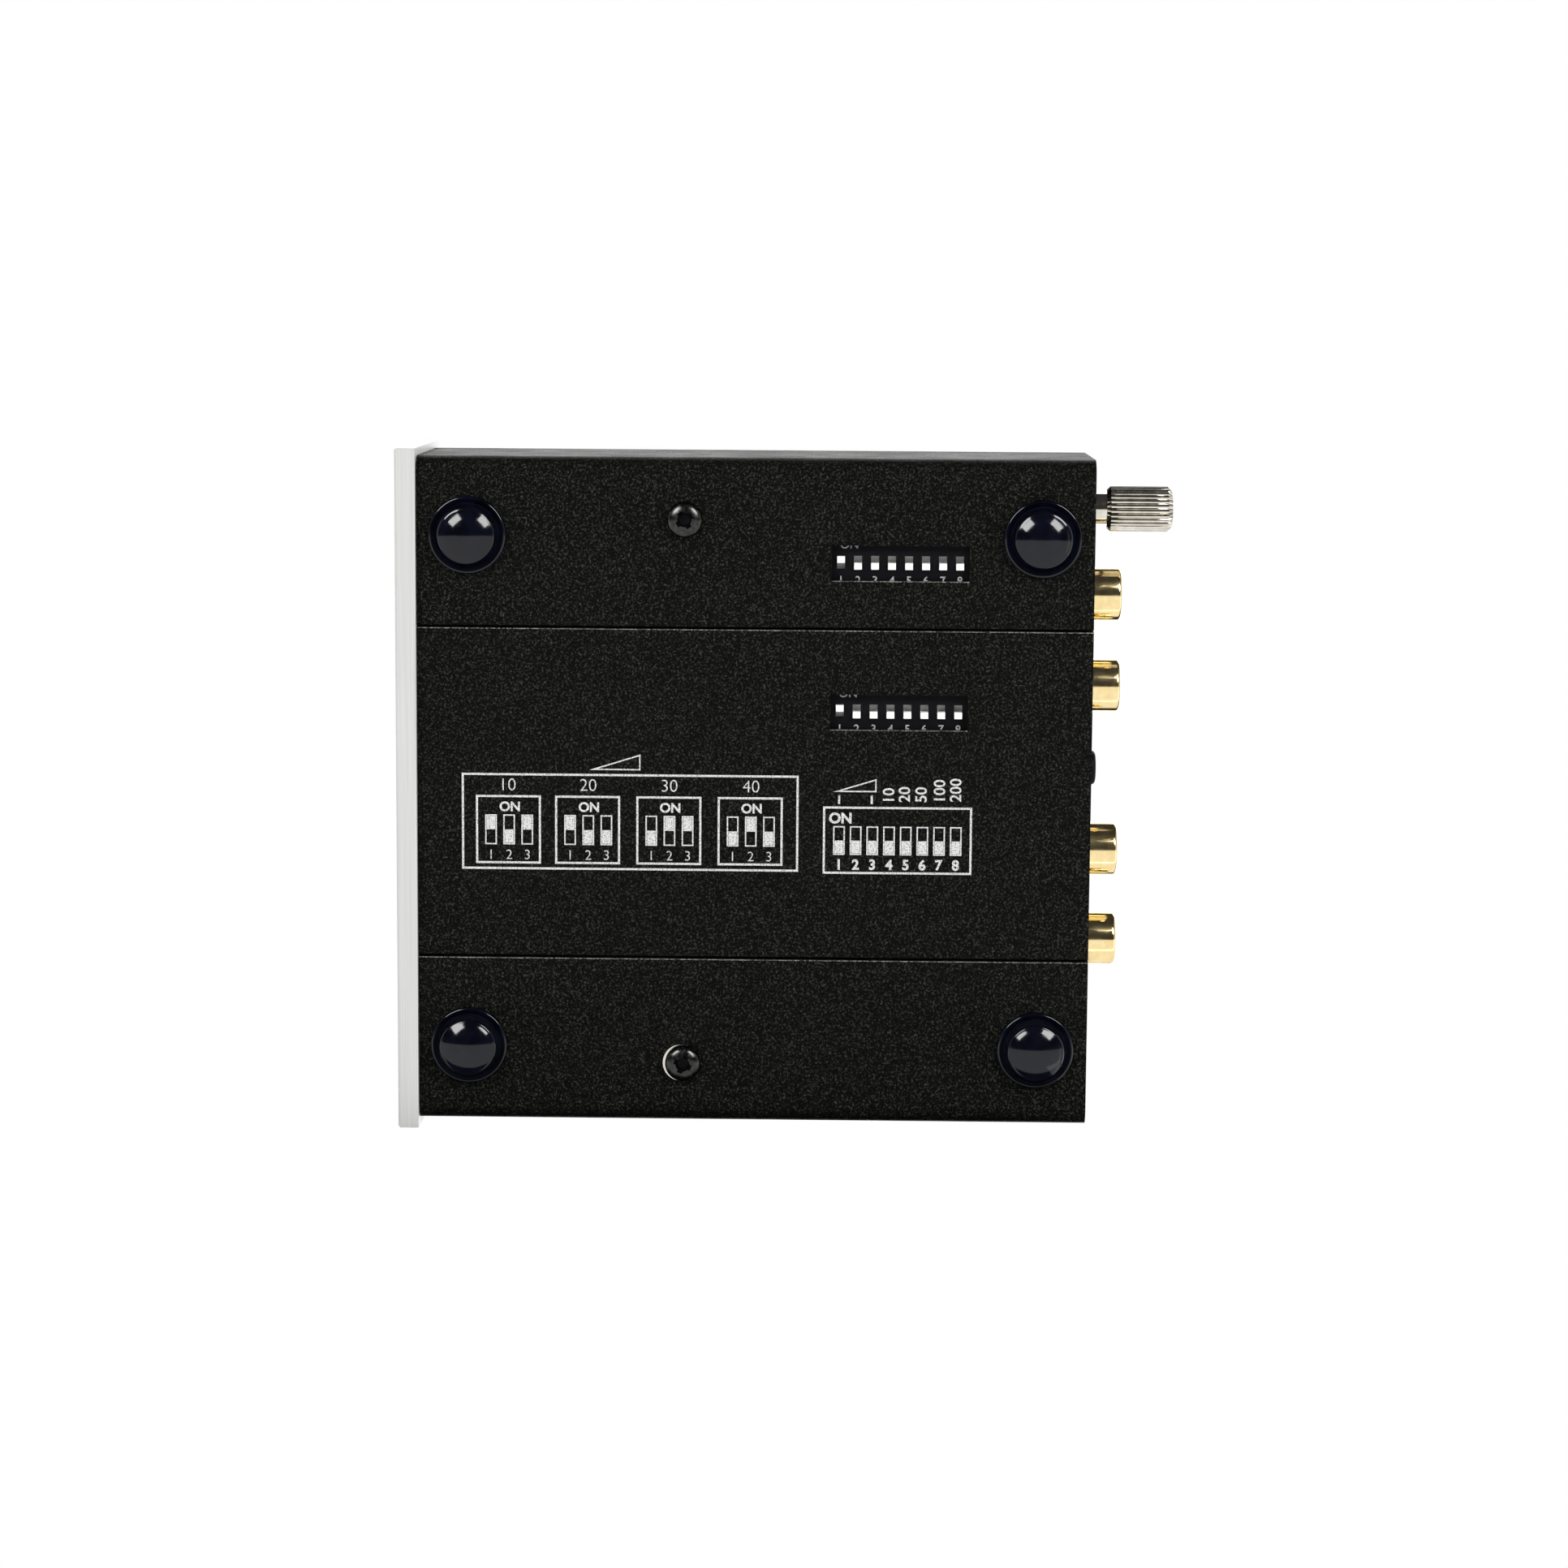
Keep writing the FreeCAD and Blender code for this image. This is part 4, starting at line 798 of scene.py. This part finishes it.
class StageSettings(PropertyGroup):
    camera_place: FloatVectorProperty(name="Camera", description="Where the camera stands",
                                      default=(0.07462, 0.00839, -0.54809), unit="LENGTH")
    camera_right: FloatVectorProperty(name="Picture right", description="The way the picture's right points",
                                      default=(0.0069036, 0.9998403, 0.0164809))
    camera_up: FloatVectorProperty(name="Picture up", description="The way the picture's top points",
                                   default=(0.9913458, -0.0090038, 0.1309671))
    lens: FloatProperty(name="Lens", description="Focal length in millimetres", default=85.10)
    fill: FloatProperty(name="Fill", description="Strength of the light from all round", default=0.04)


# Each lamp's name, place, aim, width and height, in metres, and its glow
LAMPS = (
    ("lamp_front_side", (0.42, -0.40, -0.5), (0, 0, 0.015), (0.34, 0.22), 17),
    ("lamp_rear_side", (0.42, 0.42, -0.5), (0, 0, 0.015), (0.34, 0.22), 17),
    ("card_beside", (-0.056, 0, -0.958), (0.5, 0, -0.958), (2.4, 1.9), 1.0),
    ("card_sockets", (-0.056, 0.2, 0.015), (0.5, 0.2, 0.015), (0.3, 0.06), 1.0),
    ("card_over", (0, 0, 1.1), (0, 0, 0), (1.8, 1.8), 2.2),
    ("card_rear", (0, 1.3, 0.1), (0, 0, 0.02), (1.6, 1.6), 0.7),
    ("card_front", (0, -1.3, 0.3), (0, 0, 0.02), (1.6, 1.6), 0.7),
)


def lamp(name, place, aim, size, glow):
    """A soft lamp that faces a point, of a width and height, and as bright as its glow."""
    light = bpy.data.lights.new(name, "AREA")
    light.shape = "RECTANGLE"
    light.size, light.size_y = size
    light.energy = glow * math.pi * size[0] * size[1]
    holder = bpy.data.objects.new(name, light)
    bpy.context.scene.collection.objects.link(holder)
    look = Vector(aim) - Vector(place)
    holder.matrix_world = Matrix.Translation(place) @ look.to_track_quat("-Z", "Y").to_matrix().to_4x4()
    holder.visible_camera = False
    return holder


def floor_finish():
    """Pale, and seen only from above and only by the camera, so the underside can be looked at."""
    made = material("floor", Base_Color=(0.5, 0.5, 0.5, 1), Roughness=0.8, Specular_IOR_Level=0.0,
                    Emission_Color=(1, 1, 1, 1))
    tree = made.node_tree
    shader = tree.nodes["Principled BSDF"]
    rays = add(made, "ShaderNodeLightPath")
    side = add(made, "ShaderNodeNewGeometry")
    hidden = add(made, "ShaderNodeMath", i0=1.0, i1=rays.outputs["Is Camera Ray"])
    hidden.operation = "SUBTRACT"
    either = add(made, "ShaderNodeMath", i0=hidden.outputs[0], i1=side.outputs["Backfacing"])
    either.operation = "MAXIMUM"
    # Painted glow: the floor gives off light, seen only by the camera, from half strength near the middle to
    # full strength far out
    place = add(made, "ShaderNodeTexCoord")
    reach = add(made, "ShaderNodeVectorMath", i0=place.outputs["Object"])
    reach.operation = "LENGTH"
    feed(made, spread(made, reach.outputs["Value"], 0.5, 1.0, 0.15, 1.4), "Emission Strength")
    clear = add(made, "ShaderNodeBsdfTransparent")
    mix = add(made, "ShaderNodeMixShader", Fac=either.outputs[0], i1=shader.outputs[0],
              i2=clear.outputs[0])
    tree.links.new(mix.outputs[0], tree.nodes["Material Output"].inputs["Surface"])
    return made


class PREAMP_OT_stage(Operator):
    """Floor, soft light, white surround and the camera"""
    bl_idname = "preamp.stage"
    bl_label = "Stage"

    def execute(self, context):
        settings = context.scene.preamp_stage
        scene = context.scene
        bm = bmesh.new()
        bmesh.ops.create_grid(bm, x_segments=1, y_segments=1, size=3.0)
        mesh = bpy.data.meshes.new("floor")
        bm.to_mesh(mesh)
        bm.free()
        mesh.materials.append(floor_finish())
        floor = bpy.data.objects.new("floor", mesh)
        scene.collection.objects.link(floor)

        world = bpy.data.worlds.new("surround")
        world.use_nodes = True
        scene.world = world
        tree = world.node_tree
        tree.nodes.clear()
        rays = tree.nodes.new("ShaderNodeLightPath")
        white = tree.nodes.new("ShaderNodeBackground")
        white.inputs["Color"].default_value = (1, 1, 1, 1)
        soft = tree.nodes.new("ShaderNodeBackground")
        soft.inputs["Color"].default_value = (0.96, 0.97, 1.0, 1)
        soft.inputs["Strength"].default_value = settings.fill
        mix = tree.nodes.new("ShaderNodeMixShader")
        out = tree.nodes.new("ShaderNodeOutputWorld")
        tree.links.new(rays.outputs["Is Camera Ray"], mix.inputs[0])
        tree.links.new(soft.outputs[0], mix.inputs[1])
        tree.links.new(white.outputs[0], mix.inputs[2])
        tree.links.new(mix.outputs[0], out.inputs["Surface"])

        for row in LAMPS:
            lamp(*row)

        camera = bpy.data.cameras.new("camera")
        camera.lens = settings.lens
        camera.sensor_width = 36.0
        camera.clip_start = 0.01
        view = bpy.data.objects.new("camera", camera)
        scene.collection.objects.link(view)
        right, up = Vector(settings.camera_right), Vector(settings.camera_up)
        back = right.cross(up)
        turned = Matrix((right, up, back)).transposed().to_4x4()
        view.matrix_world = Matrix.Translation(settings.camera_place) @ turned
        scene.camera = view
        scene.view_settings.view_transform = "Standard"
        return {"FINISHED"}


class PREAMP_PT_panel(Panel):
    """Every step's sizes and its button"""
    bl_idname = "PREAMP_PT_panel"
    bl_label = "Phono preamp"
    bl_space_type = "VIEW_3D"
    bl_region_type = "UI"
    bl_category = "Preamp"

    def draw(self, context):
        for name, operator in STEPS:
            column = self.layout.column()
            if name:
                settings = getattr(context.scene, name)
                for key in settings.__annotations__:
                    column.prop(settings, key)
            column.operator(operator.bl_idname)


STEPS = (
    (None, PREAMP_OT_node_finishes),
    ("preamp_feet", PREAMP_OT_rubber_feet),
    ("preamp_screws", PREAMP_OT_cover_screws),
    ("preamp_legend", PREAMP_OT_legend),
    (None, PREAMP_OT_worn_edges),
    (None, PREAMP_OT_switch_marks),
    ("preamp_nut", PREAMP_OT_thumb_nut),
    ("preamp_sockets", PREAMP_OT_socket_sleeves),
    ("preamp_stage", PREAMP_OT_stage),
)
SETTINGS_GROUPS = {
    "preamp_feet": FootSizes,
    "preamp_screws": ScrewSizes,
    "preamp_legend": LegendSizes,
    "preamp_nut": NutSizes,
    "preamp_sockets": SocketSizes,
    "preamp_stage": StageSettings,
}


def register():
    for name, group in SETTINGS_GROUPS.items():
        bpy.utils.register_class(group)
        setattr(bpy.types.Scene, name, PointerProperty(type=group))
    for _, operator in STEPS:
        bpy.utils.register_class(operator)
    bpy.utils.register_class(PREAMP_PT_panel)


def unregister():
    bpy.utils.unregister_class(PREAMP_PT_panel)
    for _, operator in reversed(STEPS):
        bpy.utils.unregister_class(operator)
    for name, group in SETTINGS_GROUPS.items():
        delattr(bpy.types.Scene, name)
        bpy.utils.unregister_class(group)


def main():
    """Runs every step in order."""
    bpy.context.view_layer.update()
    register()
    bpy.ops.preamp.node_finishes()
    bpy.ops.preamp.rubber_feet()
    bpy.ops.preamp.cover_screws()
    bpy.ops.preamp.legend()
    bpy.ops.preamp.worn_edges()
    bpy.ops.preamp.switch_marks()
    bpy.ops.preamp.thumb_nut()
    bpy.ops.preamp.socket_sleeves()
    bpy.ops.preamp.stage()


if __name__ == "__main__":
    main()
